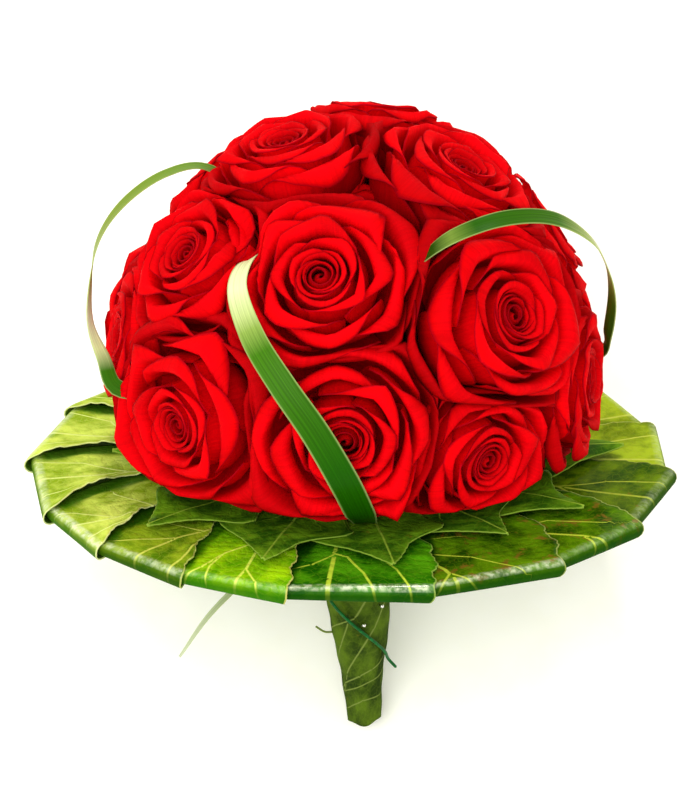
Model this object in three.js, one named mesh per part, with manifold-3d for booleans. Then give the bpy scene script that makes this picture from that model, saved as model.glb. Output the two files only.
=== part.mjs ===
// A hand bouquet of red roses. A dome of open blooms stands on short stems in a ball of flower foam, the foam
// sits in a plastic holder, a collar of ivy leaves is folded round a stiff disc under the dome, and loops of
// grass blade spring from between the blooms. The holder's handle is wrapped in a leaf, pinned and wired.
//
// Everything is modelled upright, in millimetres, with the handle's axis on Z, the disc's top face at z = 0
// and the front towards -Y. The last group leans the bouquet back onto the end of its handle and one fold of
// the collar, which is how it rests on a table.
import * as THREE from 'three';
import { mergeVertices } from 'three/addons/utils/BufferGeometryUtils.js';
import Module from 'manifold-3d';

const wasm = await Module();
wasm.setup();

// Driving dimensions
const clearance = 0.3; // left between two pieces that touch
const domeCentre = new THREE.Vector3(0, 0, 42); // where the stems aim
const bloomReach = 65; // from that centre to the base of a bloom
const foamRadius = 40;
const stemRadius = 2.4;
const stemDepth = 14; // how far a stem goes into the foam
const discThickness = 3;
const collarCorner = 126; // from the axis to a corner of the folded rim
const leafThickness = 0.8;
const foldRadius = discThickness / 2 + clearance + leafThickness / 2; // a leaf round the disc's edge
const leafOverlap = 2.5; // degrees that neighbouring collar leaves reach past a corner
const leafStep = 1.5; // a collar leaf's right side stands this much farther off the disc than its left
const innerStep = 1.8;
const wireRadius = 0.7;
const handleTop = { radius: 10.9, z: -7 };
const handleEnd = { radius: 4.8, z: -109 };
const handleCourse = [[handleEnd.radius, handleEnd.z], [6.6, -88], [9.4, -72], [10.8, -58],
  [handleTop.radius, handleTop.z]]; // radius and height, from the foot up
const handleSlant = 0.053; // mm that the handle goes aside for each mm that it goes down
const wrapThickness = 1;
const bladeThickness = 0.7;

const materials = {
  petal: new THREE.MeshStandardMaterial({ color: 0xc4000c, roughness: 0.6, metalness: 0 }),
  ivy: new THREE.MeshStandardMaterial({ color: 0x3d7a14, roughness: 0.35, metalness: 0 }),
  grass: new THREE.MeshStandardMaterial({ color: 0x4f8f2a, roughness: 0.4, metalness: 0 }),
  foam: new THREE.MeshStandardMaterial({ color: 0x2f6b3c, roughness: 0.95, metalness: 0 }),
  holder: new THREE.MeshStandardMaterial({ color: 0x1f5a30, roughness: 0.45, metalness: 0 }),
  board: new THREE.MeshStandardMaterial({ color: 0x5b7a3a, roughness: 0.8, metalness: 0 }),
  wire: new THREE.MeshStandardMaterial({ color: 0x0f5a2a, roughness: 0.35, metalness: 0.4 }),
  pin: new THREE.MeshStandardMaterial({ color: 0xe8e8ea, roughness: 0.25, metalness: 0.3 }),
};

const bouquet = new THREE.Group();

function addPiece(name, geometry, material) {
  const mesh = new THREE.Mesh(geometry, material);
  mesh.name = name;
  bouquet.add(mesh);
  return mesh;
}

// A repeatable stream of numbers between 0 and 1
function seededRandom(seed) {
  let state = seed;
  return () => {
    state = (state * 1664525 + 1013904223) % 4294967296;
    return state / 4294967296;
  };
}

const radians = THREE.MathUtils.degToRad;
const mix = THREE.MathUtils.lerp;

// Azimuth 0 faces the front and grows towards +X
function direction(azimuth, elevation) {
  const a = radians(azimuth);
  const e = radians(elevation);
  return new THREE.Vector3(Math.sin(a) * Math.cos(e), -Math.cos(a) * Math.cos(e), Math.sin(e));
}

// Closed mesh to solid and back
function toSolid(geometry) {
  const bare = new THREE.BufferGeometry().setAttribute('position', geometry.getAttribute('position'));
  bare.setIndex(geometry.getIndex());
  const merged = mergeVertices(bare, 1e-4);
  return new wasm.Manifold(
    new wasm.Mesh({
      numProp: 3,
      vertProperties: new Float32Array(merged.attributes.position.array),
      triVerts: new Uint32Array(merged.index.array),
    }),
  );
}

function toGeometry(solid) {
  const mesh = solid.getMesh();
  const geometry = new THREE.BufferGeometry();
  geometry.setAttribute('position', new THREE.BufferAttribute(new Float32Array(mesh.vertProperties), 3));
  geometry.setIndex(new THREE.BufferAttribute(new Uint32Array(mesh.triVerts), 1));
  geometry.computeVertexNormals();
  return geometry;
}

// The largest shell by itself, which drops loose scraps and fills closed hollows
function largestBody(solid) {
  const bodies = solid.decompose();
  return bodies.reduce((best, body) => (body.volume() > best.volume() ? body : best));
}

// A blade: a grid of points on its middle surface, thickened to both sides and closed round its edges. Both
// faces are split along the same diagonals.
function blade(grid, thickness) {
  const rows = grid.length;
  const columns = grid[0].length;
  const middle = new THREE.Vector3();
  const along = new THREE.Vector3();
  const across = new THREE.Vector3();
  const normal = new THREE.Vector3();
  const positions = [];
  for (const side of [0.5, -0.5]) {
    for (let i = 0; i < rows; i++) {
      for (let j = 0; j < columns; j++) {
        along.subVectors(grid[Math.min(i + 1, rows - 1)][j], grid[Math.max(i - 1, 0)][j]);
        across.subVectors(grid[i][Math.min(j + 1, columns - 1)], grid[i][Math.max(j - 1, 0)]);
        normal.crossVectors(across, along).normalize();
        middle.copy(grid[i][j]).addScaledVector(normal, side * thickness);
        positions.push(middle.x, middle.y, middle.z);
      }
    }
  }
  const top = (i, j) => i * columns + j;
  const under = (i, j) => rows * columns + i * columns + j;
  const index = [];
  for (let i = 0; i < rows - 1; i++) {
    for (let j = 0; j < columns - 1; j++) {
      index.push(top(i, j), top(i, j + 1), top(i + 1, j + 1));
      index.push(top(i, j), top(i + 1, j + 1), top(i + 1, j));
      index.push(under(i, j), under(i + 1, j + 1), under(i, j + 1));
      index.push(under(i, j), under(i + 1, j), under(i + 1, j + 1));
    }
  }
  const rim = [];
  for (let j = 0; j < columns - 1; j++) rim.push([0, j]);
  for (let i = 0; i < rows - 1; i++) rim.push([i, columns - 1]);
  for (let j = columns - 1; j > 0; j--) rim.push([rows - 1, j]);
  for (let i = rows - 1; i > 0; i--) rim.push([i, 0]);
  rim.forEach(([i, j], k) => {
    const [m, n] = rim[(k + 1) % rim.length];
    index.push(top(i, j), under(i, j), under(m, n));
    index.push(top(i, j), under(m, n), top(m, n));
  });
  const geometry = new THREE.BufferGeometry();
  geometry.setAttribute('position', new THREE.Float32BufferAttribute(positions, 3));
  geometry.setIndex(index);
  return geometry;
}

// A turned shape: the lathe's Y axis is stood up on Z
function turned(profile, sides) {
  const points = profile.map(([r, z]) => new THREE.Vector2(r, z));
  return new THREE.LatheGeometry(points, sides).rotateX(Math.PI / 2);
}

// A round bar between two points
function bar(from, to, radius, sides) {
  const along = new THREE.Vector3().subVectors(to, from);
  const turn = new THREE.Quaternion().setFromUnitVectors(
    new THREE.Vector3(0, 1, 0),
    along.clone().normalize(),
  );
  const middle = from.clone().add(to).multiplyScalar(0.5);
  const cylinder = new THREE.CylinderGeometry(radius, radius, along.length(), sides);
  return cylinder.applyQuaternion(turn).translate(middle.x, middle.y, middle.z);
}

// Blooms: azimuth and elevation in degrees on the dome, size against a bloom 62 across, and how far one is
// set out from the rest
const blooms = [
  { azimuth: -80, elevation: 75, size: 1 },
  { azimuth: 80, elevation: 62, size: 1.05 },
  { azimuth: 165, elevation: 67, size: 1 },
  { azimuth: -9, elevation: 42, size: 1.06 },
  { azimuth: 45, elevation: 27, size: 1.2 },
  { azimuth: 103, elevation: 33, size: 1 },
  { azimuth: 143, elevation: 36, size: 1 },
  { azimuth: 182, elevation: 35, size: 1 },
  { azimuth: 219, elevation: 37, size: 1 },
  { azimuth: 254, elevation: 43, size: 0.95, out: -7 },
  { azimuth: -60, elevation: 40, size: 1 },
  { azimuth: -45, elevation: 1, size: 1 },
  { azimuth: -1, elevation: 4, size: 1.1 },
  { azimuth: 35, elevation: -6, size: 0.97 },
  { azimuth: 76, elevation: 2, size: 1.05 },
  { azimuth: 112, elevation: 3, size: 1 },
  { azimuth: 147, elevation: 4, size: 1 },
  { azimuth: 181, elevation: 2, size: 1 },
  { azimuth: 214, elevation: 4, size: 1 },
  { azimuth: 246, elevation: 5, size: 1 },
  { azimuth: -81, elevation: 11, size: 0.92 },
];
const bloomFloor = 12; // no petal hangs lower than this above the disc
const bloomGap = 1.4; // between the middle surfaces of two blooms' petals
const widest = 21; // height in a bloom at which it is widest
const petalThickness = 0.9;

// A bloom is one closed skin. Its stem widens into a core, three rings of petals grow out of bands of the
// core, and above them the core goes on as a closed bud. In a ring, each petal lies over one neighbour and
// under the other. A band is given by the radius and height of its lower and upper edge; the stations run up
// the middle of a petal, as radius and height. Its sides stand in and out by the pinwheel amount, and at its
// rim they drop and roll outwards. Half turns are the half widths of a petal, in degrees, from base to rim.
const petalRings = [
  {
    count: 5,
    band: [[5, -0.5], [6.2, 0.9]],
    stations: [[21, 6], [37, 20]],
    halfTurns: [27, 35, 43],
    drop: 7,
    roll: 2,
  },
  {
    count: 4,
    band: [[6.6, 4], [6.9, 5.3]],
    stations: [[15, 13], [22.5, 29]],
    halfTurns: [34, 44, 52],
    drop: 5,
    roll: 1,
  },
  {
    count: 3,
    band: [[6.9, 8.5], [6.8, 9.8]],
    stations: [[9, 18], [11.5, 32]],
    halfTurns: [45, 57, 68],
    drop: 4,
    roll: 0,
  },
];
const petalColumns = [-1, 0, 1]; // across a petal
const pinwheel = 2;
const budRing = [5.6, 24];
const budTip = 31;
const budSides = 6;
const stemSides = 5;

blooms.forEach((bloom) => {
  const reach = bloomReach + 1.5 * Math.sin(radians(bloom.elevation)) + (bloom.out ?? 0);
  bloom.axis = direction(bloom.azimuth, bloom.elevation);
  bloom.base = domeCentre.clone().addScaledVector(bloom.axis, reach);
  bloom.middle = domeCentre.clone().addScaledVector(bloom.axis, reach + widest);
  bloom.stemLength = reach - foamRadius + stemDepth;
  bloom.turn = new THREE.Quaternion().setFromUnitVectors(new THREE.Vector3(0, 0, 1), bloom.axis);
});

// The room of one bloom: a plane to each neighbour and one over the collar
function roomOf(bloom) {
  const planes = [new THREE.Plane(new THREE.Vector3(0, 0, -1), bloomFloor)];
  for (const other of blooms) {
    if (other === bloom || other.middle.distanceTo(bloom.middle) > 110) continue;
    const share = bloom.size / (bloom.size + other.size);
    const normal = new THREE.Vector3().subVectors(other.middle, bloom.middle).normalize();
    const between = bloom.middle.clone().lerp(other.middle, share).addScaledVector(normal, -bloomGap / 2);
    planes.push(new THREE.Plane().setFromNormalAndCoplanarPoint(normal, between));
  }
  return planes;
}

// A point that would leave the bloom's room is pressed back towards the bloom's axis, softly, so that petals
// that lie one outside the other stay so
function pressIn(point, bloom, planes) {
  const along = point.clone().sub(bloom.base).dot(bloom.axis);
  const onAxis = bloom.base.clone().addScaledVector(bloom.axis, along);
  const outward = point.clone().sub(onAxis);
  const distance = outward.length();
  if (distance < 1e-6) return point;
  outward.divideScalar(distance);
  let limit = Infinity;
  for (const plane of planes) {
    const towards = plane.normal.dot(outward);
    if (towards > 1e-3) limit = Math.min(limit, -plane.distanceToPoint(onAxis) / towards);
  }
  const free = 0.72 * limit;
  if (distance < free) return point;
  const pressed = limit - (limit - free) * Math.exp(-(distance - free) / (limit - free));
  return onAxis.addScaledVector(outward, Math.min(pressed, limit - 0.02));
}

// A skin under construction: points, faces, and rings of points sorted by their angle round the axis
class Skin {
  constructor() {
    this.points = [];
    this.faces = [];
  }

  point(x, y, z) {
    this.points.push(new THREE.Vector3(x, y, z));
    return this.points.length - 1;
  }

  ring(angles, radius, height) {
    const ids = angles.map((angle) => {
      const a = radians(angle);
      return this.point(radius * Math.cos(a), radius * Math.sin(a), height);
    });
    return { angles, ids };
  }

  // Faces between two rings, whose points may differ in number
  stitch(low, high) {
    const count = low.ids.length + high.ids.length;
    const at = (ring, k) => ring.angles[k % ring.ids.length] + 360 * Math.floor(k / ring.ids.length);
    const id = (ring, k) => ring.ids[k % ring.ids.length];
    let i = 0;
    let j = 0;
    while (i + j < count) {
      const stepLow = i < low.ids.length && (j === high.ids.length || at(low, i + 1) <= at(high, j + 1));
      if (stepLow) {
        this.faces.push(id(low, i), id(low, i + 1), id(high, j));
        i++;
      } else {
        this.faces.push(id(low, i), id(high, j + 1), id(high, j));
        j++;
      }
    }
  }

  fan(ring, apex) {
    ring.ids.forEach((id, k) => this.faces.push(id, ring.ids[(k + 1) % ring.ids.length], apex));
  }

  quad(a, b, c, d) {
    this.faces.push(a, b, c, a, c, d);
  }

  geometry(place) {
    const placed = this.points.flatMap((point) => place(point.clone()).toArray());
    const geometry = new THREE.BufferGeometry();
    geometry.setAttribute('position', new THREE.Float32BufferAttribute(placed, 3));
    geometry.setIndex(this.faces);
    return geometry;
  }
}

// One petal on the band between the points in lower and upper; rows holds its middle surface above the band
function growPetal(skin, lower, upper, base, rows) {
  const grid = [base, ...rows];
  const outer = [lower];
  const inner = [upper];
  const normal = new THREE.Vector3();
  const last = lower.length - 1;
  for (let i = 1; i < grid.length; i++) {
    const ids = grid[i].map((middle, j) => {
      const along = grid[Math.min(i + 1, grid.length - 1)][j].clone().sub(grid[i - 1][j]);
      const across = grid[i][Math.min(j + 1, last)].clone().sub(grid[i][Math.max(j - 1, 0)]);
      normal.crossVectors(across, along).setLength(petalThickness / 2);
      return [1, -1].map((side) => {
        const at = middle.clone().addScaledVector(normal, side);
        return skin.point(at.x, at.y, at.z);
      });
    });
    outer.push(ids.map((pair) => pair[0]));
    inner.push(ids.map((pair) => pair[1]));
  }
  for (let i = 0; i < grid.length - 1; i++) {
    for (let j = 0; j < last; j++) {
      skin.quad(outer[i][j], outer[i][j + 1], outer[i + 1][j + 1], outer[i + 1][j]);
      skin.faces.push(inner[i][j], inner[i + 1][j + 1], inner[i][j + 1]);
      skin.faces.push(inner[i][j], inner[i + 1][j], inner[i + 1][j + 1]);
    }
    skin.quad(outer[i][0], outer[i + 1][0], inner[i + 1][0], inner[i][0]);
    skin.quad(outer[i][last], inner[i][last], inner[i + 1][last], outer[i + 1][last]);
  }
  const rim = grid.length - 1;
  for (let j = 0; j < last; j++) {
    skin.quad(outer[rim][j], outer[rim][j + 1], inner[rim][j + 1], inner[rim][j]);
  }
}

function evenAngles(count, first) {
  return Array.from({ length: count }, (_, k) => first + (360 * k) / count);
}

function makeBloom(bloom, number) {
  const random = seededRandom(100 + number);
  const planes = roomOf(bloom);
  const spin = new THREE.Quaternion().setFromAxisAngle(new THREE.Vector3(0, 0, 1), 2 * Math.PI * random());
  const place = (point) => {
    const onStem = point.z < -3.9;
    point.applyQuaternion(spin).multiplyScalar(point.z < 0 ? 1 : bloom.size).applyQuaternion(bloom.turn);
    point.add(bloom.base);
    return onStem ? point : pressIn(point, bloom, planes);
  };
  const skin = new Skin();
  const foot = skin.ring(evenAngles(stemSides, -20), stemRadius, -bloom.stemLength);
  let below = skin.ring(evenAngles(stemSides, -20), stemRadius, -4);
  skin.stitch(foot, below);
  skin.faces.push(foot.ids[2], foot.ids[1], foot.ids[0]);
  skin.faces.push(foot.ids[3], foot.ids[2], foot.ids[0]);
  skin.faces.push(foot.ids[4], foot.ids[3], foot.ids[0]);
  petalRings.forEach((ring, level) => {
    const even = evenAngles(ring.count, ring.halfTurns[0] - 25 * level);
    const centres = even.map((angle) => angle + 5 * (random() - 0.5));
    const angles = centres.flatMap((centre) => petalColumns.map((u) => centre + u * ring.halfTurns[0]));
    const [lower, upper] = ring.band.map(([radius, height]) => skin.ring(angles, radius, height));
    skin.stitch(below, lower);
    centres.forEach((centre, k) => {
      const first = k * petalColumns.length;
      const last = first + petalColumns.length - 1;
      const next = (last + 1) % angles.length;
      skin.quad(lower.ids[last], lower.ids[next], upper.ids[next], upper.ids[last]);
      const taller = 1 + 0.14 * (random() - 0.5);
      const rows = ring.stations.map(([radius, height], row) => {
        const rim = (row + 1) / ring.stations.length;
        return petalColumns.map((u) => {
          const side = u * u * rim * rim;
          const r = radius + pinwheel * u + ring.roll * side;
          const angle = radians(centre + u * ring.halfTurns[row + 1]);
          return new THREE.Vector3(
            r * Math.cos(angle),
            r * Math.sin(angle),
            height * taller - ring.drop * side,
          );
        });
      });
      const ids = (all) => all.ids.slice(first, last + 1);
      const base = ids(lower).map((id) => skin.points[id]);
      growPetal(skin, ids(lower), ids(upper), base, rows);
    });
    below = upper;
  });
  const bud = skin.ring(evenAngles(budSides, -45), ...budRing);
  skin.stitch(below, bud);
  skin.fan(bud, skin.point(0, 0, budTip));
  return toSolid(skin.geometry(place));
}

// A grass blade: the points of its route, its width and the way it faces along them
const grassPlans = [
  {
    name: 'grass_blade_front',
    route: [[-13, -16, 66], [-27, -31, 88], [-37, -50, 105], [-42, -72, 102], [-36, -90, 89], [-25, -101, 74],
      [-13, -105, 57], [-2, -103, 36], [4, -93, 19], [6, -80, 9.5]],
    widths: [4, 6, 7, 8, 9.5, 10.4, 11, 11.6, 11.6, 9],
    facing: [[-0.4, -0.9, 0.2], [-0.4, -0.8, 0.5], [-0.5, -0.6, 0.6], [-0.35, -0.8, 0.5], [-0.1, -0.9, 0.4],
      [0, -0.9, 0.4], [0, -0.9, 0.4], [0, -0.95, 0.2], [0, -0.9, -0.3], [0, -0.5, -0.8]],
    steps: 18,
  },
  {
    name: 'grass_loop_left',
    route: [[-17, 7, 74], [-36, 16, 100], [-55, 18, 117], [-71, 7, 118.5], [-87, -6, 111], [-96, -16, 100],
      [-99, -24, 85], [-99, -30, 71], [-94, -36, 59], [-89, -41, 49], [-60, -34, 47], [-31, -18, 45]],
    widths: [3, 4, 5, 5.5, 5.5, 5.5, 5.5, 5.8, 6.3, 6.6, 5, 3],
    facing: [[0.8, -0.3, 0.5], [0.7, -0.3, 0.6], [0, -0.3, 0.95], [-0.3, -0.3, 0.9], [-0.6, -0.3, 0.75],
      [-0.9, -0.15, 0.45], [-1, 0.15, 0], [-0.9, 0.3, -0.3], [-0.55, 0.65, -0.5], [-0.3, 0.8, -0.5],
      [-0.1, 0.7, -0.7], [0, 0.6, -0.8]],
    steps: 24,
  },
  {
    name: 'grass_loop_right',
    route: [[9, -20, 66], [18, -42, 90], [29, -62, 111], [39, -66, 120], [57, -61, 125], [76, -49, 121],
      [91, -36, 108], [98, -25, 93], [101, -14, 76], [100, -4, 57], [98, 4, 46], [80, 8, 46],
      [36, 4, 45]],
    widths: [3, 5, 6, 6.5, 6.8, 7, 7, 7, 7, 7, 6, 5, 4],
    facing: [[-0.5, -0.5, 0.6], [-0.5, -0.5, 0.7], [-0.4, -0.45, 0.8], [-0.25, -0.55, 0.8],
      [-0.1, -0.65, 0.75], [0.1, -0.55, 0.8], [0.55, -0.15, 0.8], [0.9, 0.1, 0.35], [0.8, 0.5, -0.2],
      [0.7, 0.6, -0.4], [0.5, 0.5, -0.65], [0.1, 0.6, -0.8], [0, 0.6, -0.8]],
    steps: 26,
  },
  {
    name: 'grass_tail',
    route: [[-11.7, -4.9, -9], [-24, -8, -28], [-43, -12, -46], [-56, -16, -59], [-67, -18, -75]],
    widths: [2.4, 2.6, 2.6, 2, 0.9],
    facing: [[-0.6, -0.6, 0.6], [-0.4, -0.9, 0.3]],
    steps: 8,
  },
];
const grassGap = 0.45; // left round a blade where it passes between blooms or into the foam

function curveThrough(points) {
  return new THREE.CatmullRomCurve3(points.map((p) => new THREE.Vector3(...p)), false, 'centripetal');
}

function grassSolid(plan, room) {
  const route = curveThrough(plan.route);
  const facing = curveThrough(plan.facing);
  const grid = [];
  for (let i = 0; i <= plan.steps; i++) {
    const t = i / plan.steps;
    const at = t * (plan.widths.length - 1);
    const low = Math.min(Math.floor(at), plan.widths.length - 2);
    const half = 0.5 * mix(plan.widths[low], plan.widths[low + 1], at - low) + room;
    const across = facing.getPoint(t).cross(route.getTangent(t)).normalize();
    const centre = route.getPoint(t);
    if (i === 0) centre.addScaledVector(route.getTangent(0), -room);
    if (i === plan.steps) centre.addScaledVector(route.getTangent(1), room);
    grid.push([centre.clone().addScaledVector(across, -half), centre.clone().addScaledVector(across, half)]);
  }
  return toSolid(blade(grid, bladeThickness + 2 * room));
}

const grassRooms = grassPlans.map((plan) => grassSolid(plan, grassGap));

function clearOfGrass(solid) {
  let cleared = solid;
  for (const room of grassRooms) {
    if (cleared.intersect(room).volume() > 0) cleared = cleared.subtract(room);
  }
  return largestBody(cleared);
}

blooms.forEach((bloom, number) => {
  const name = `rose_${String(number + 1).padStart(2, '0')}`;
  addPiece(name, toGeometry(clearOfGrass(makeBloom(bloom, number))), materials.petal);
});

grassPlans.forEach((plan) => addPiece(plan.name, toGeometry(grassSolid(plan, 0)), materials.grass));

// The foam ball, with a hole for each stem
const foamProfile = [[0, 5], [20, 5], [26, 12], [34, 22], [39, 33], [foamRadius, 44], [37, 58], [29, 70],
  [16, 79], [0, 82]];
let foam = toSolid(turned(foamProfile, 16));
for (const bloom of blooms) {
  const deep = -bloom.stemLength - clearance;
  const wide = stemRadius + clearance / Math.cos(Math.PI / 6) + 0.1;
  const hole = turned([[0, deep], [wide, deep], [wide, -10], [0, -10]], 6);
  foam = foam.subtract(toSolid(hole.applyQuaternion(bloom.turn).translate(...bloom.base)));
}
addPiece('foam_ball', toGeometry(clearOfGrass(foam)), materials.foam);

// The holder: a cup under the foam on a tapered handle
const holderProfile = [[0, handleEnd.z], ...handleCourse, [handleTop.radius, 0.3], [22, 2.2], [29.4, 13], [27.4, 13.6], [20.4, 4.6], [0, 4.6]];
let holder = toSolid(turned(holderProfile, 16));

// The disc under the collar has a straight edge for the fold of each leaf, and its corners are cut off
const corners = [-69, -51, -32, -13, 12, 37, 59, 83, 105, 126, 146, 166, 194, 217, 242, 267];
const edgeRadius = collarCorner - foldRadius - leafThickness / 2;

// From the axis to the straight edge of the disc
function edgeAt(angle) {
  let turnOf = angle;
  while (turnOf < corners[0]) turnOf += 360;
  while (turnOf >= corners[0] + 360) turnOf -= 360;
  let k = corners.length - 1;
  while (corners[k] > turnOf) k--;
  const next = k === corners.length - 1 ? corners[0] + 360 : corners[k + 1];
  const half = radians((next - corners[k]) / 2);
  return (edgeRadius * Math.cos(half)) / Math.cos(radians(turnOf - (corners[k] + next) / 2));
}

const edgePoint = (angle) =>
  new THREE.Vector2(Math.sin(radians(angle)), -Math.cos(radians(angle))).multiplyScalar(edgeAt(angle));
const cutCorners = corners.flatMap((corner) => [corner - leafOverlap, corner + leafOverlap]);
const outline = new THREE.Shape(cutCorners.map(edgePoint));
outline.holes.push(new THREE.Path().absarc(0, 0, handleTop.radius + 0.5, 0, 2 * Math.PI));
const flat = { depth: discThickness, bevelEnabled: false, curveSegments: 12 };
const board = new THREE.ExtrudeGeometry(outline, flat);
addPiece('collar_disc', toGeometry(toSolid(board.translate(0, 0, -discThickness))), materials.board);

const polar = (angle, radius, z) =>
  new THREE.Vector3(radius * Math.sin(radians(angle)), -radius * Math.cos(radians(angle)), z);

// A collar leaf lies on the disc, folds over its edge and comes back under it. Each lies over the next one to
// its right, so it stands a little farther off the disc at its right side. Stations run along the leaf: by
// radius on the top face and on the underside, and by turn round the fold. Left and right say how far the leaf
// reaches there.
const leafStations = [
  { top: 55, left: 0.5, right: 0.45 },
  { top: 82, left: 1, right: 0.9 },
  { top: 106, left: 1, right: 1.05 },
  { fold: 0, left: 1, right: 1 },
  { fold: 60, left: 1, right: 1 },
  { fold: 120, left: 1, right: 1 },
  { fold: 180, left: 1, right: 1 },
  { under: 103, left: 0.85, right: 0.8 },
  { under: 88, left: 0.3, right: 0.25 },
];

corners.forEach((corner, number) => {
  const random = seededRandom(400 + number);
  const next = number === corners.length - 1 ? corners[0] + 360 : corners[number + 1];
  const from = corner - leafOverlap;
  const to = next + leafOverlap;
  const middle = (corner + next) / 2;
  const raised = 0.4 + (number < 3 ? 2 : 1) * random();
  const sway = 0.12 * (random() - 0.5);
  const grid = leafStations.map((station) => {
    const left = middle + (from - middle) * station.left;
    const right = middle + (to - middle) * station.right;
    const angles = [left, left + 2 * leafOverlap, (left + right) / 2, right - 2 * leafOverlap, right];
    return angles.map((plain, column) => {
      const onTop = station.top !== undefined;
      const swayed = onTop && station.top < 100 ? sway * (to - from) : 0;
      const angle = Math.min(Math.max(plain + swayed, from), to);
      const off = foldRadius + (leafStep * (angle - from)) / (to - from);
      const middleHeight = -discThickness / 2;
      if (station.fold !== undefined) {
        const turnOver = radians(station.fold);
        const radius = edgeAt(angle) + off * Math.sin(turnOver);
        return polar(angle, radius, middleHeight + off * Math.cos(turnOver));
      }
      if (onTop) {
        const lift = station.top > 100 && column === 4 ? raised : 0;
        return polar(angle, station.top, middleHeight + off + lift);
      }
      return polar(angle, station.under, middleHeight - off);
    });
  });
  const name = `collar_leaf_${String(number + 1).padStart(2, '0')}`;
  addPiece(name, blade(grid, leafThickness), materials.ivy);
});

// The inner leaves stand round the foam and lie out over the collar leaves, with their points outwards.
// Stations run out from the root: radius, height and half width, in millimetres; the point is added to them.
const innerLeaves = [
  { azimuth: -52, tip: 92 },
  { azimuth: -20, tip: 89 },
  { azimuth: 12, tip: 92 },
  { azimuth: 38, tip: 88 },
  { azimuth: 63, tip: 96 },
  { azimuth: 96, tip: 94 },
  { azimuth: 130, tip: 92 },
  { azimuth: 164, tip: 95 },
  { azimuth: 198, tip: 91 },
  { azimuth: 232, tip: 94 },
  { azimuth: 270, tip: 93 },
];
const innerStations = [[31.5, 16.5, 4], [45, 8.5, 9], [62, 4.6, 18], [72, 4.2, 23], [77, 4.4, 12],
  [85, 4.8, 7.5]];
const innerSpread = 20; // degrees to each side

innerLeaves.forEach(({ azimuth, tip }, number) => {
  const stations = [...innerStations, [tip, 5.6, 0.9]];
  const grid = stations.map(([radius, height, half]) =>
    [-1, -0.4, 0.4, 1].map((u) => {
      const sideways = THREE.MathUtils.radToDeg((u * half) / radius);
      const off = (innerStep * (sideways + innerSpread)) / (2 * innerSpread);
      return polar(azimuth + sideways, radius, height + off);
    }),
  );
  addPiece(`inner_leaf_${String(number + 1).padStart(2, '0')}`, blade(grid, leafThickness), materials.ivy);
});

// The handle's wrap: one leaf rolled round it a little more than once, with its stalk left out at the side
function handleRadius(z) {
  if (z <= handleEnd.z) return handleEnd.radius;
  if (z >= handleTop.z) return handleTop.radius;
  const k = handleCourse.findIndex(([, height]) => height >= z);
  const [[lowRadius, low], [highRadius, high]] = [handleCourse[k - 1], handleCourse[k]];
  return mix(lowRadius, highRadius, (z - low) / (high - low));
}

// The handle stands a little aslant under its cup
function aslant(geometry) {
  const { array } = geometry.attributes.position;
  for (let i = 0; i < array.length; i += 3) array[i] += handleSlant * Math.max(0, -array[i + 2]);
  return geometry;
}

const wrapRows = [-5, -58, -72, -88, -104, handleEnd.z - 1.5];
const wrapTurns = 1.12;
const wrapGrid = wrapRows.map((z) =>
  Array.from({ length: 15 }, (_, j) => {
    const around = (j / 14) * wrapTurns;
    const angle = 200 + 0.5 * z + 360 * around;
    const radius = handleRadius(z) + clearance + wrapThickness / 2 + (wrapThickness + clearance) * around;
    const ragged = z < handleEnd.z ? 1.2 * Math.sin(radians(2 * angle)) - 0.6 : 0;
    return polar(angle, radius, z + ragged);
  }),
);
let wrap = toSolid(blade(wrapGrid, wrapThickness));
const wrapOuter = (z) => handleRadius(z) + (wrapThickness + clearance) * (1 + wrapTurns);
const stalk = bar(polar(-80, wrapOuter(-68) - 2, -67), polar(-84, wrapOuter(-68) + 4.6, -66.4), 0.8, 5);
wrap = wrap.add(toSolid(stalk));

// The binding wire winds once down the wrap and its end stands off
const wirePoints = [];
for (let k = 0; k <= 12; k++) {
  const z = mix(-18, -83, k / 12);
  const angle = mix(-192, 75, k / 12);
  wirePoints.push(polar(angle, wrapOuter(z) + clearance + wireRadius + 0.35, z));
}
wirePoints.push(polar(80, wrapOuter(-86) + 4.2, -86.5));
const wireSteps = 30;
const wireSides = 5;
const wireCurve = new THREE.CatmullRomCurve3(wirePoints);
const wireTube = new THREE.TubeGeometry(wireCurve, wireSteps, wireRadius, wireSides);
const tubePositions = Array.from(wireTube.attributes.position.array);
const tubeIndex = Array.from(wireTube.index.array);
[[0, wirePoints[0]], [wireSteps, wirePoints[wirePoints.length - 1]]].forEach(([ring, end]) => {
  const centre = tubePositions.length / 3;
  tubePositions.push(end.x, end.y, end.z);
  for (let j = 0; j < wireSides; j++) {
    const a = ring * (wireSides + 1) + j;
    if (ring === 0) tubeIndex.push(centre, a, a + 1);
    else tubeIndex.push(centre, a + 1, a);
  }
});
const wireGeometry = new THREE.BufferGeometry();
wireGeometry.setAttribute('position', new THREE.Float32BufferAttribute(tubePositions, 3));
wireGeometry.setIndex(tubeIndex);
addPiece('binding_wire', aslant(toGeometry(toSolid(wireGeometry))), materials.wire);

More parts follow.
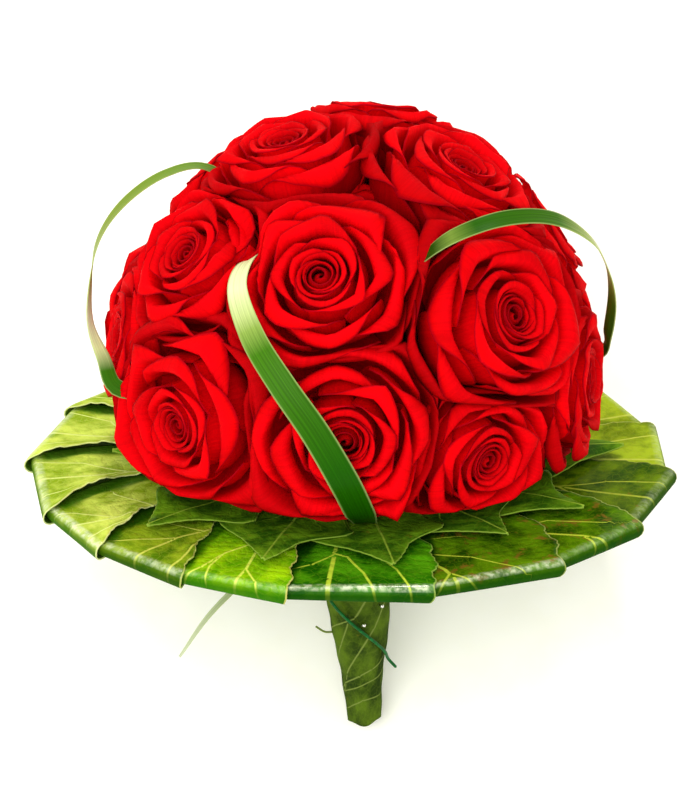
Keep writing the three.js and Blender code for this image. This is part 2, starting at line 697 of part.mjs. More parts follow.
// Two pins through the wrap into the handle
const pinPlans = [
  { name: 'pin_upper', angle: 44, z: -56.6 },
  { name: 'pin_lower', angle: 10, z: -63.5 },
];
for (const { name, angle, z } of pinPlans) {
  const headAt = wrapOuter(z) + clearance + 0.5;
  const shank = bar(polar(angle, headAt - 6, z), polar(angle, headAt, z), 0.4, 5);
  const head = turned([[0, -0.5], [1.1, -0.5], [1.1, 0.2], [0.6, 0.8], [0, 0.8]], 7);
  const outward = new THREE.Quaternion().setFromUnitVectors(new THREE.Vector3(0, 0, 1), direction(angle, 0));
  const headSolid = toSolid(head.applyQuaternion(outward).translate(...polar(angle, headAt, z)));
  addPiece(name, aslant(toGeometry(toSolid(shank).add(headSolid))), materials.pin);
  const hole = toSolid(bar(polar(angle, headAt - 6.4, z), polar(angle, headAt + 2, z), 0.8, 6));
  wrap = wrap.subtract(hole);
  holder = holder.subtract(hole);
}
addPiece('holder', aslant(toGeometry(holder)), materials.holder);
addPiece('handle_wrap', aslant(toGeometry(largestBody(wrap))), materials.ivy);

// Leaning back: the turn at which the collar's fold and the handle's end are equally low
function lowest(names, lean) {
  let least = Infinity;
  bouquet.children.filter((piece) => names.test(piece.name)).forEach((piece) => {
    const { array } = piece.geometry.attributes.position;
    for (let i = 0; i < array.length; i += 3) {
      least = Math.min(least, -array[i + 1] * Math.sin(lean) + array[i + 2] * Math.cos(lean));
    }
  });
  return least;
}
let [less, more] = [radians(20), radians(70)];
for (let k = 0; k < 40; k++) {
  const lean = (less + more) / 2;
  if (lowest(/^collar_leaf/, lean) > lowest(/^handle_wrap/, lean)) less = lean;
  else more = lean;
}
bouquet.rotation.x = -less;

const part = new THREE.Group().add(bouquet);
const extent = new THREE.Box3().setFromObject(part, true);
const middle = extent.getCenter(new THREE.Vector3());
bouquet.position.set(-middle.x, -middle.y, -extent.min.z);

export default part;
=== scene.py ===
import math
import random

import bpy
import numpy as np
from mathutils import Matrix, Vector


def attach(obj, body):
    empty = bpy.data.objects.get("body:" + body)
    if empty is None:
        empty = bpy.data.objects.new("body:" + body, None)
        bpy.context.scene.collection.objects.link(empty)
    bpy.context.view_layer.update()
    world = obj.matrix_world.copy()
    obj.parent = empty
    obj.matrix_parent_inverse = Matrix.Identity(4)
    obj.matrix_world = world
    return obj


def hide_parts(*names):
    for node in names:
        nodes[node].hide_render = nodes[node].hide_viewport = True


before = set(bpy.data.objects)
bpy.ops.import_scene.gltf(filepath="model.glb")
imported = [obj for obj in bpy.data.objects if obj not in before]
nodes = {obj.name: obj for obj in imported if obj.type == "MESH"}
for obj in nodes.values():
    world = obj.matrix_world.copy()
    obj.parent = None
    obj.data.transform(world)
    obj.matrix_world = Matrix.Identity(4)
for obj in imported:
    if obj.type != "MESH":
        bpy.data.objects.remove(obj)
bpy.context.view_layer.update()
print("frame loaded:", len(nodes), "nodes")


mm = 0.001  # metres
# mm that the handle's foot lies under the disc's top, and how far aside the handle goes for each mm down
handleAxis = {"foot": 109, "slant": 0.053}


def placeOfPart():
    # The lean comes from the disc's broad face, and the place from the lowest ring of the holder
    disc = nodes["collar_disc"].data
    widest = max(disc.polygons, key=lambda face: face.area).normal
    lean = math.atan2(abs(widest.y), abs(widest.z))
    axis = Vector((0, math.sin(lean), math.cos(lean)))
    ends = [vertex.co for vertex in nodes["holder"].data.vertices]
    least = min(point.dot(axis) for point in ends)
    rim = {tuple(round(c, 6) for c in point) for point in ends if point.dot(axis) < least + 1e-5}
    foot = sum((Vector(point) for point in rim), Vector()) / len(rim)
    down = handleAxis["foot"] / 1000
    origin = foot + axis * down - Vector((handleAxis["slant"] * down, 0, 0))
    return Matrix.Translation(origin) @ Matrix.Rotation(-lean, 4, "X") @ Matrix.Scale(mm, 4)


toPart = placeOfPart()


def direction(azimuth, elevation):
    a, e = math.radians(azimuth), math.radians(elevation)
    return Vector((math.sin(a) * math.cos(e), -math.cos(a) * math.cos(e), math.sin(e)))


def polar(angle, radius, height):
    a = np.radians(angle)
    return np.stack([radius * np.sin(a), -radius * np.cos(a), height + 0 * a], axis=-1)


def smoothStep(low, high, value):
    t = np.clip((value - low) / (high - low), 0, 1)
    return t * t * (3 - 2 * t)


def srgb(hexText):
    channels = [int(hexText[i:i + 2], 16) / 255 for i in (1, 3, 5)]
    return tuple(c / 12.92 if c <= 0.04045 else ((c + 0.055) / 1.055) ** 2.4 for c in channels) + (1.0,)


def addNode(tree, kind, settings=None, links=None):
    # Keys that are inputs get values, with colours as hex text, and other keys are the node's own settings.
    # A link that names a node starts at its first output in use
    node = tree.nodes.new("ShaderNode" + kind)
    settings = dict(settings or {})
    stops = settings.pop("stops", [])
    for key in [key for key in settings if isinstance(key, str) and key not in node.inputs]:
        setattr(node, key, settings.pop(key))
    for key, value in settings.items():
        node.inputs[key].default_value = srgb(value) if isinstance(value, str) else value
    for key, source in (links or {}).items():
        if isinstance(source, bpy.types.Node):
            source = next(socket for socket in source.outputs if socket.enabled)
        tree.links.new(source, node.inputs[key])
    while stops and len(node.color_ramp.elements) < len(stops):
        node.color_ramp.elements.new(0.5)
    for number, (position, colour) in enumerate(stops):
        node.color_ramp.elements[number].position = position
        node.color_ramp.elements[number].color = srgb(colour)
    return node


def newMaterial(name):
    material = bpy.data.materials.new(name)
    material.use_nodes = True
    material.node_tree.nodes.clear()
    return material, material.node_tree


# Rose petal: living tissue with a fine velvet nap. Matt, deep red and slightly see-through, with faint veins
# that run up it about 0.8 mm apart. Painted shade darkens it towards its base, in the bud and on the outer
# guard petals.
def rosePetalMaterial():
    material, tree = newMaterial("rosePetalVelvet")
    place = addNode(tree, "Attribute", {"attribute_name": "petal"}).outputs["Vector"]
    parts = addNode(tree, "SeparateXYZ", {}, {0: place})
    stretch = addNode(tree, "Mapping", {"Scale": (26, 1.6, 9)}, {"Vector": place})
    veins = addNode(tree, "TexNoise", {"Scale": 1.0, "Detail": 3.0, "Roughness": 0.6}, {"Vector": stretch})
    broad = addNode(tree, "Mapping", {"Scale": (1.1, 1.3, 9)}, {"Vector": place})
    cloud = addNode(tree, "TexNoise", {"Scale": 1.0, "Detail": 2.0}, {"Vector": broad})
    # the ramp's darker base is painted shade deep in the bloom; its last stop is a thin darker rim line
    redRampWithPaintedShade = addNode(tree, "ValToRGB", {"stops": [
        (0.0, "#d2001a"), (0.4, "#f20012"), (0.68, "#fa000e"), (0.9, "#fe000e"), (0.975, "#f80008"),
        (1.0, "#c40016")]}, {0: parts.outputs["Y"]})
    shade = addNode(tree, "MapRange", {1: 0.3, 2: 0.7, 3: 0.86, 4: 1.05}, {0: veins})
    clouded = addNode(tree, "MapRange", {1: 0.3, 2: 0.7, 3: 0.8, 4: 1.05}, {0: cloud})
    # painted shade: the bud and the inner open petals darker, and the outer guard petals darker where the
    # gaps between blooms lie in shade
    bud = addNode(tree, "MapRange", {1: 0.2, 2: 2.0, 3: 0.74, 4: 1.0}, {0: parts.outputs["Z"]})
    paintedGuardPetalShade = addNode(tree, "MapRange", {1: 3.3, 2: 3.7, 3: 1.0, 4: 0.66}, {0: parts.outputs["Z"]})
    toned = addNode(tree, "Math", {"operation": "MULTIPLY"}, {0: shade, 1: clouded})
    ends = addNode(tree, "Math", {"operation": "MULTIPLY"}, {0: bud, 1: paintedGuardPetalShade})
    veinedAndPaintedShade = addNode(tree, "Math", {"operation": "MULTIPLY"}, {0: toned, 1: ends})
    red = addNode(tree, "Mix", {"data_type": "RGBA", "blend_type": "MULTIPLY", 0: 1.0},
                  {6: redRampWithPaintedShade, 7: veinedAndPaintedShade})
    bump = addNode(tree, "Bump", {"Strength": 0.25, "Distance": 0.0004}, {"Height": veins})
    face = addNode(tree, "BsdfPrincipled", {"Roughness": 0.75, "Specular IOR Level": 0.06, "IOR": 1.4},
                   {"Base Color": red, "Normal": bump})
    through = addNode(tree, "BsdfTranslucent", {}, {"Color": red})
    both = addNode(tree, "MixShader", {0: 0.34}, {1: face, 2: through})
    addNode(tree, "OutputMaterial", {}, {"Surface": both})
    return material


# Ivy leaf: a waxed blade, dull where it lies flat and polished along its bend over the collar's edge. Pale
# raised veins: main ribs, side veins about 6 mm apart and a net with meshes of about 3 mm. The blade swells
# a little between them, is spotted brown and has a thin pale rim. Painted shadow darkens it where the leaf
# before overhangs it, painted shade darkens the fold's outer band, and a painted highlight lies along its
# bend.
def ivyMaterial(name, colours):
    material, tree = newMaterial(name)
    places = {key: addNode(tree, "Attribute", {"attribute_name": key}).outputs["Vector"]
              for key in ("vein", "blade", "seam")}
    rib, flat, seam = (addNode(tree, "SeparateXYZ", {}, {0: place}) for place in places.values())
    blade = {"Vector": places["blade"]}
    smooth = {"interpolation_type": "SMOOTHSTEP"}
    patch = addNode(tree, "TexNoise", {"Scale": 0.07, "Detail": 4.0, "Roughness": 0.55}, blade)
    grain = addNode(tree, "TexNoise", {"Scale": 0.45, "Detail": 3.0}, blade)
    blotch = addNode(tree, "TexNoise", {"Scale": 0.13, "Detail": 3.0, "Roughness": 0.6}, blade)
    net = addNode(tree, "TexVoronoi",
                  {"feature": "DISTANCE_TO_EDGE", "voronoi_dimensions": "2D", "Scale": 0.32}, blade)
    across = addNode(tree, "Math", {"operation": "ABSOLUTE"}, {0: rib.outputs["Y"]})
    beyond = addNode(tree, "Math", {"operation": "SUBTRACT"}, {0: across, 1: rib.outputs["Z"]})
    main = addNode(tree, "MapRange", {**smooth, 1: -0.1, 2: 0.35, 3: 1.0, 4: 0.0}, {0: beyond})
    # side veins slant away from their rib, wander a little and fade
    wander = addNode(tree, "Math", {"operation": "MULTIPLY_ADD", 1: 7.0}, {0: grain, 2: rib.outputs["X"]})
    slanted = addNode(tree, "Math", {"operation": "MULTIPLY_ADD", 1: -0.85}, {0: across, 2: wander})
    zigzag = addNode(tree, "Math", {"operation": "PINGPONG", 1: colours["sideSpacing"] / 2}, {0: slanted})
    side = addNode(tree, "MapRange", {**smooth, 1: 0.0, 2: 0.5, 3: 1.0, 4: 0.0}, {0: zigzag})
    fade = addNode(tree, "MapRange", {1: 2.0, 2: 14.0, 3: 1.0, 4: 0.2}, {0: across})
    sideVein = addNode(tree, "Math", {"operation": "MULTIPLY"}, {0: side, 1: fade})
    sideShare = addNode(tree, "Math", {"operation": "MULTIPLY", 1: 0.2}, {0: sideVein})
    netVein = addNode(tree, "MapRange", {**smooth, 1: 0.0, 2: 0.09, 3: 1.0, 4: 0.0}, {0: net})
    netShare = addNode(tree, "Math", {"operation": "MULTIPLY", 1: 0.2}, {0: netVein})
    spots = addNode(tree, "MapRange", {**smooth, 1: 1 - colours["spots"], 2: 1.12 - colours["spots"], 3: 0.0,
                    4: 0.75}, {0: blotch})
    broken = addNode(tree, "MapRange", {1: 0.4, 2: 0.62, 3: 0.1, 4: 0.75}, {0: grain})
    # a painted highlight along the bend, broken up by the grain
    paintedHighlight = addNode(tree, "Math", {"operation": "MULTIPLY"}, {0: seam.outputs["Z"], 1: broken})
    rim = addNode(tree, "MapRange", {**smooth, 1: 0.2, 2: 0.6, 3: 0.7, 4: 0.0}, {0: flat.outputs["Z"]})
    tones = [(0.39, colours["dark"]), (0.61, colours["light"])]
    skin = addNode(tree, "ValToRGB", {"stops": tones}, {0: patch})
    # the deep colour is painted shadow where the leaf before overhangs, the fold colour is painted shade on
    # the fold's outer band, and #dfe8c4 is a painted highlight along the bend
    coats = [(netShare, colours["vein"]), (sideShare, colours["vein"]), (spots, "#7a5a1c"),
             (main, colours["rib"]), (seam.outputs["X"], colours["deep"]),
             (seam.outputs["Y"], colours["fold"]), (paintedHighlight, "#dfe8c4"), (rim, colours["rim"])]
    for share, colour in coats:
        skin = addNode(tree, "Mix", {"data_type": "RGBA", 7: colour}, {0: share, 6: skin})
    polish = addNode(tree, "MapRange", {1: 0.0, 2: 0.6, 3: 0.05, 4: 0.8}, {0: seam.outputs["Z"]})
    swell = addNode(tree, "MapRange", {1: 0.0, 2: 2.2, 3: 0.0, 4: 1.0}, {0: zigzag})
    meshSwell = addNode(tree, "Math", {"operation": "MULTIPLY_ADD", 1: 0.9}, {0: net, 2: swell})
    height = addNode(tree, "Math", {"operation": "MULTIPLY_ADD", 1: 0.8}, {0: main, 2: meshSwell})
    bump = addNode(tree, "Bump", {"Strength": 0.45, "Distance": 0.0006}, {"Height": height})
    rough = colours["rough"]
    wax = addNode(tree, "MapRange", {1: 0.3, 2: 0.7, 3: rough - 0.08, 4: rough + 0.06}, {0: grain})
    face = addNode(tree, "BsdfPrincipled", {"Specular IOR Level": 0.0, "Coat Roughness": 0.16},
                   {"Base Color": skin, "Roughness": wax, "Normal": bump, "Coat Weight": polish})
    addNode(tree, "OutputMaterial", {}, {"Surface": face})
    return material


# Grass blade: long satin strap with parallel veins, each about 0.6 mm wide, and pale rims. It is paler where
# it bends, partly its own colour and partly a painted highlight.
def grassMaterial(name, stops):
    material, tree = newMaterial(name)
    place = addNode(tree, "Attribute", {"attribute_name": "blade"}).outputs["Vector"]
    edge = addNode(tree, "Attribute", {"attribute_name": "edge"}).outputs["Vector"]
    parts = addNode(tree, "SeparateXYZ", {}, {0: place})
    side = addNode(tree, "SeparateXYZ", {}, {0: edge})
    stretch = addNode(tree, "Mapping", {"Scale": (1.7, 0.012, 0.0)}, {"Vector": place})
    veins = addNode(tree, "TexNoise", {"Scale": 1.0, "Detail": 2.0}, {"Vector": stretch})
    along = addNode(tree, "ValToRGB", {"stops": stops}, {0: parts.outputs["Z"]})
    shade = addNode(tree, "MapRange", {1: 0.3, 2: 0.7, 3: 0.72, 4: 1.2}, {0: veins})
    striped = addNode(tree, "Mix", {"data_type": "RGBA", "blend_type": "MULTIPLY", 0: 1.0},
                      {6: along, 7: shade})
    rim = addNode(tree, "MapRange", {"interpolation_type": "SMOOTHSTEP", 1: 0.84, 2: 0.97, 3: 0.0, 4: 0.55},
                  {0: side.outputs["X"]})
    rimmed = addNode(tree, "Mix", {"data_type": "RGBA", 7: "#b4c878"}, {0: rim, 6: striped})
    bump = addNode(tree, "Bump", {"Strength": 0.5, "Distance": 0.0003}, {"Height": veins})
    face = addNode(tree, "BsdfPrincipled", {"Roughness": 0.36, "Specular IOR Level": 0.06},
                   {"Base Color": rimmed, "Normal": bump})
    through = addNode(tree, "BsdfTranslucent", {}, {"Color": rimmed})
    both = addNode(tree, "MixShader", {0: 0.12}, {1: face, 2: through})
    addNode(tree, "OutputMaterial", {}, {"Surface": both})
    return material


# The plainer finishes: one fine pattern each, which varies the colour, the polish or the relief
plainFinishes = {
    # Rose stem and calyx: smooth green skin with a thin bloom of wax
    "roseStemSkin": {
        "pattern": ("TexNoise", {"Scale": 400.0, "Detail": 3.0}), "face": {"Roughness": 0.5},
        "stops": [(0.3, "#31541c"), (0.7, "#5c7d31")]},
    # Flower foam: pressed open-cell phenolic foam, dusty and dull, with cells drawn at 0.8 mm
    "flowerFoam": {
        "pattern": ("TexVoronoi", {"Scale": 1250.0}), "face": {"Roughness": 0.95, "Specular IOR Level": 0.15},
        "stops": [(0.0, "#16331c"), (0.7, "#2c5a34")], "bump": {"Strength": 0.8, "Distance": 0.0006}},
    # Bouquet holder: injection-moulded polypropylene, even and softly shiny with a fine moulded grain
    "mouldedPolypropylene": {
        "pattern": ("TexNoise", {"Scale": 1600.0, "Detail": 2.0}), "face": {"Roughness": 0.42},
        "stops": [(0.3, "#1c4a2a"), (0.7, "#225533")], "bump": {"Strength": 0.2, "Distance": 0.0002}},
    # Collar disc: pulp board, dry and matt, with short fibres drawn about 2 mm long
    "pulpBoard": {
        "stretch": (1800, 420, 900), "pattern": ("TexNoise", {"Scale": 1.0, "Detail": 4.0}),
        "face": {"Roughness": 0.85, "Specular IOR Level": 0.2},
        "stops": [(0.3, "#4c6630"), (0.7, "#6d8748")], "bump": {"Strength": 0.4, "Distance": 0.0003}},
    # Binding wire: florist's iron wire, lacquered dark green, worn thin in places
    "lacqueredIronWire": {
        "pattern": ("TexNoise", {"Scale": 700.0, "Detail": 3.0}),
        "stops": [(0.35, "#064418"), (0.7, "#0f6a2a")],
        "face": {"Roughness": 0.45, "Specular IOR Level": 0.1, "Coat Weight": 0.1}},
    # Pins: nickelled steel, bright, with fine drawing marks
    "nickelledSteel": {
        "pattern": ("TexNoise", {"Scale": 2500.0, "Detail": 2.0}),
        "polish": {1: 0.3, 2: 0.7, 3: 0.16, 4: 0.3}, "face": {"Base Color": "#e4e2dc", "Metallic": 1.0}},
    # Table: white laminated board, satin, with a faint orange-peel, and a faint glow that lightens the
    # shadows cast on it
    "whiteLaminateWithGlow": {
        "pattern": ("TexNoise", {"Scale": 60.0, "Detail": 2.0}),
        "stops": [(0.3, "#fbfaf2"), (0.7, "#fffef8")],
        "face": {"Roughness": 0.7, "Specular IOR Level": 0.2, "Emission Color": "#fff6ea",
                 "Emission Strength": 0.09}},
}


def plainMaterial(name):
    finish = plainFinishes[name]
    material, tree = newMaterial(name)
    place = addNode(tree, "TexCoord").outputs["Object"]
    if "stretch" in finish:
        place = addNode(tree, "Mapping", {"Scale": finish["stretch"]}, {"Vector": place})
    kind, settings = finish["pattern"]
    pattern = addNode(tree, kind, settings, {"Vector": place})
    looks = {}
    if "stops" in finish:
        looks["Base Color"] = addNode(tree, "ValToRGB", {"stops": finish["stops"]}, {0: pattern})
    if "polish" in finish:
        looks["Roughness"] = addNode(tree, "MapRange", finish["polish"], {0: pattern})
    if "bump" in finish:
        looks["Normal"] = addNode(tree, "Bump", finish["bump"], {"Height": pattern})
    face = addNode(tree, "BsdfPrincipled", finish["face"], looks)
    addNode(tree, "OutputMaterial", {}, {"Surface": face})
    return material


def strapGrid(columns, rows):
    # A flat grid primitive gives the order of points and faces; its points are then laid in code
    bpy.ops.object.select_all(action="DESELECT")
    bpy.ops.mesh.primitive_grid_add(x_subdivisions=columns, y_subdivisions=rows, size=2)
    start = bpy.context.object
    points = np.array([tuple(vertex.co) for vertex in start.data.vertices])
    faces = np.array([tuple(face.vertices) for face in start.data.polygons])
    mesh = start.data
    bpy.data.objects.remove(start)
    bpy.data.meshes.remove(mesh)
    return points[:, 0], (points[:, 1] + 1) / 2, faces


def newPiece(name, points, faces, material, attributes=None):
    mesh = bpy.data.meshes.new(name)
    mesh.from_pydata([tuple(p) for p in points], [], [tuple(int(i) for i in f) for f in faces])
    mesh.transform(toPart)
    piece = bpy.data.objects.new(name, mesh)
    bpy.context.scene.collection.objects.link(piece)
    mesh.materials.append(material)
    for key, values in (attributes or {}).items():
        layer = mesh.attributes.new(key, "FLOAT_VECTOR", "POINT")
        layer.data.foreach_set("vector", np.asarray(values, dtype=np.float32).ravel())
    mesh.polygons.foreach_set("use_smooth", [True] * len(mesh.polygons))
    mesh.update()
    return piece


def applyModifiers(piece):
    bpy.ops.object.select_all(action="DESELECT")
    piece.select_set(True)
    bpy.context.view_layer.objects.active = piece
    for modifier in list(piece.modifiers):
        bpy.ops.object.modifier_apply(modifier=modifier.name)


def thicken(piece, thickness):
    wall = piece.modifiers.new("wall", "SOLIDIFY")
    wall.thickness = thickness * mm
    wall.offset = 0
    wall.use_even_offset = False
    applyModifiers(piece)


def joinTo(piece, parts):
    bpy.ops.object.select_all(action="DESELECT")
    for part in [*parts, piece]:
        part.select_set(True)
    bpy.context.view_layer.objects.active = piece
    bpy.ops.object.join()


def stoodOn(points, turn, base):
    return np.array(points) @ np.array(turn).T + np.array(base)


def skinFaces(rings, sides):
    # Faces that join rings of points, one after the other, into a closed skin
    faces = []
    for i in range(rings - 1):
        for j in range(sides):
            k = (j + 1) % sides
            faces.append((i * sides + j, i * sides + k, (i + 1) * sides + k, (i + 1) * sides + j))
    return faces + [tuple(reversed(range(sides))), tuple((rings - 1) * sides + j for j in range(sides))]


# stops: each blade's colour along its length; the pale stretches at its bends are partly its own paler colour
# and partly painted highlight
grassSettings = [
    {"name": "grass_blade_front", "piece": "strap_front", "over": (0.22, 0.93),
     "route": [[-13, -16, 66], [-27, -31, 88], [-37, -50, 105], [-42, -72, 102], [-36, -90, 89],
               [-25, -101, 74], [-13, -105, 57], [-2, -103, 36], [4, -93, 19], [6, -80, 9.5]],
     "widths": [4, 6, 7, 8, 9.5, 10.4, 11, 11.6, 11.6, 9],
     "facing": [[-0.4, -0.9, 0.2], [-0.4, -0.8, 0.5], [-0.5, -0.6, 0.6], [-0.35, -0.8, 0.5],
                [-0.1, -0.9, 0.4], [0, -0.9, 0.4], [0, -0.9, 0.4], [0, -0.95, 0.2], [0, -0.9, -0.3],
                [0, -0.5, -0.8]],
     "stops": [(0.0, "#7f9c4a"), (0.2, "#d6e0a4"), (0.34, "#e2e9b2"), (0.4, "#bccd80"), (0.43, "#8aa84a"),
               (0.48, "#40760e"), (0.75, "#1c5800"), (1.0, "#104200")]},
    {"name": "grass_loop_left", "piece": "strap_left", "over": (0.6, 0.8),
     "route": [[-17, 7, 74], [-36, 16, 100], [-55, 18, 117], [-71, 7, 118.5], [-87, -6, 111], [-96, -16, 100],
               [-99, -24, 85], [-99, -30, 71], [-94, -36, 59], [-89, -41, 49], [-60, -34, 47],
               [-31, -18, 45]],
     "widths": [3, 4, 5, 5.5, 5.5, 5.5, 5.5, 5.8, 6.3, 6.6, 5, 3],
     "facing": [[0.8, -0.3, 0.5], [0.7, -0.3, 0.6], [0, -0.3, 0.95], [-0.3, -0.3, 0.9], [-0.6, -0.3, 0.75],
                [-0.9, -0.15, 0.45], [-1, 0.15, 0], [-0.9, 0.3, -0.3], [-0.55, 0.65, -0.5], [-0.3, 0.8, -0.5],
                [-0.1, 0.7, -0.7], [0, 0.6, -0.8]],
     "stops": [(0.0, "#2f6412"), (0.2, "#648c20"), (0.42, "#869a34"), (0.54, "#a8bc68"), (0.62, "#dfe3bc"),
               (0.7, "#d2dc9c"), (0.76, "#387010"), (1.0, "#1c500a")]},
    {"name": "grass_loop_right", "piece": "strap_right", "over": (0.16, 0.78),
     "route": [[9, -20, 66], [18, -42, 90], [29, -62, 111], [39, -66, 120], [57, -61, 125], [76, -49, 121],
               [91, -36, 108], [98, -25, 93], [101, -14, 76], [100, -4, 57], [98, 4, 46], [80, 8, 46],
               [36, 4, 45]],
     "widths": [3, 5, 6, 6.5, 6.8, 7, 7, 7, 7, 7, 6, 5, 4],
     "facing": [[-0.5, -0.5, 0.6], [-0.5, -0.5, 0.7], [-0.4, -0.45, 0.8], [-0.25, -0.55, 0.8],
                [-0.1, -0.65, 0.75], [0.1, -0.55, 0.8], [0.55, -0.15, 0.8], [0.9, 0.1, 0.35],
                [0.8, 0.5, -0.2], [0.7, 0.6, -0.4], [0.5, 0.5, -0.65], [0.1, 0.6, -0.8], [0, 0.6, -0.8]],
     "stops": [(0.0, "#153a06"), (0.19, "#1f4c08"), (0.245, "#6f8a34"), (0.29, "#265a06"), (0.43, "#3a6a08"),
               (0.5, "#9aac44"), (0.56, "#d6dca8"), (0.6, "#9ab04c"), (0.68, "#3c7014"), (1.0, "#1c540a")]},
    {"name": "grass_tail", "piece": "strap_tail", "over": None,
     "route": [[-11.7, -4.9, -9], [-24, -8, -28], [-43, -12, -46], [-56, -16, -59], [-67, -18, -75]],
     "widths": [2.4, 2.6, 2.6, 2, 0.9],
     "facing": [[-0.6, -0.6, 0.6], [-0.4, -0.9, 0.3]],
     "stops": [(0.0, "#6f8a4a"), (0.5, "#a3b27e"), (1.0, "#c9d2ae")]},
]
strapShape = {
    "columns": 8, "rows": 110, "keel": 0.06, "thickness": 0.35, "stand": 0.3,
    # mm that petals lie under a blade's middle and give way at most, and how far beside it and past its ends
    "under": 1.9, "deepest": 14, "beside": (1.2, 7.5), "past": (1.5, 7),
}


def curveThrough(points, at):
    # A centripetal Catmull-Rom curve through the points, as in the solids
    points = [Vector(p) for p in points]
    last = len(points) - 1
    k = min(int(at * last), last - 1)
    t = at * last - k
    p1, p2 = points[k], points[k + 1]
    p0 = points[k - 1] if k > 0 else p1 * 2 - p2
    p3 = points[k + 2] if k + 2 <= last else p2 * 2 - p1
    d0, d1, d2 = ((a - b).length_squared ** 0.25 for a, b in ((p1, p0), (p2, p1), (p3, p2)))
    d1 = d1 if d1 > 1e-4 else 1
    d0 = d0 if d0 > 1e-4 else d1
    d2 = d2 if d2 > 1e-4 else d1
    t1 = ((p1 - p0) / d0 - (p2 - p0) / (d0 + d1) + (p2 - p1) / d1) * d1
    t2 = ((p2 - p1) / d1 - (p3 - p1) / (d1 + d2) + (p3 - p2) / d2) * d1
    return p1 + t1 * t + (-3 * p1 + 3 * p2 - 2 * t1 - t2) * t**2 + (2 * p1 - 2 * p2 + t1 + t2) * t**3


def evenCourse(points, steps, samples=400, near=1e-3):
    # Places at even distances along the curve, their directions, the curve's length and its own steps
    fine = [curveThrough(points, i / samples) for i in range(samples + 1)]
    run = np.concatenate([[0], np.cumsum([(fine[i + 1] - fine[i]).length for i in range(samples)])])
    at = np.interp(np.linspace(0, run[-1], steps + 1), run, np.linspace(0, 1, samples + 1))
    places = [curveThrough(points, t) for t in at]
    ahead = [(curveThrough(points, min(t + near, 1)) - curveThrough(points, max(t - near, 0))).normalized()
             for t in at]
    return places, ahead, run[-1], at


def strapCourse(plan):
    # The middle line of a blade, its sideways and outward directions and its half widths
    places, ahead, length, at = evenCourse(plan["route"], strapShape["rows"])
    stops = np.linspace(0, 1, len(plan["widths"]))
    sideways = [curveThrough(plan["facing"], t).cross(way).normalized() for t, way in zip(at, ahead)]
    outward = [way.cross(across).normalized() for way, across in zip(ahead, sideways)]
    half = 0.5 * np.interp(at, stops, plan["widths"])
    return {"places": np.array(places), "ahead": np.array(ahead), "sideways": np.array(sideways),
            "outward": np.array(outward), "half": half, "length": length, "at": at}


def underStraps(points):
    # A petal gives way beneath a blade that lies over it
    centre = np.array(bloomSettings["centre"], float)
    (near, far), (close, clear) = strapShape["beside"], strapShape["past"]
    for plan, course in zip(grassSettings, strapCourses):
        if not plan["over"]:
            continue
        over = (course["at"] > plan["over"][0]) & (course["at"] < plan["over"][1])
        places, ahead = course["places"][over], course["ahead"][over]
        sideways, half = course["sideways"][over], course["half"][over]
        nearest = np.argmin(((points[:, None, :] - places[None, :, :]) ** 2).sum(axis=2), axis=1)
        away = points - places[nearest]
        radial = places[nearest] - centre
        radial = radial / np.linalg.norm(radial, axis=1)[:, None]
        across = np.abs((away * sideways[nearest]).sum(axis=1))
        along = np.abs((away * ahead[nearest]).sum(axis=1))
        above = (away * radial).sum(axis=1) + strapShape["under"]
        share = 1 - smoothStep(half[nearest] + near, half[nearest] + far, across)
        share = share * (1 - smoothStep(close, clear, along))
        points = points - radial * (np.clip(above, 0, strapShape["deepest"]) * share)[:, None]
    return points


strapCourses = [strapCourse(plan) for plan in grassSettings]


def makeStrap(plan, course):
    shape = strapShape
    u, v, faces = strapGrid(shape["columns"], shape["rows"])
    row = np.rint(v * shape["rows"]).astype(int)
    half = course["half"][row]
    rise = shape["stand"] - shape["keel"] * half * (1 - np.abs(u))  # a shallow fold along the middle
    points = course["places"][row] + course["sideways"][row] * (half * u)[:, None]
    points = points + course["outward"][row] * rise[:, None]
    marks = np.stack([u * half, v * course["length"], course["at"][row]], axis=-1)
    material = grassMaterial(plan["piece"] + "Blade", plan["stops"])
    edges = np.stack([np.abs(u), u, v], axis=-1)
    piece = newPiece(plan["piece"], points, faces, material, {"blade": marks, "edge": edges})
    thicken(piece, shape["thickness"])
    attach(piece, "root")
    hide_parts(plan["name"])


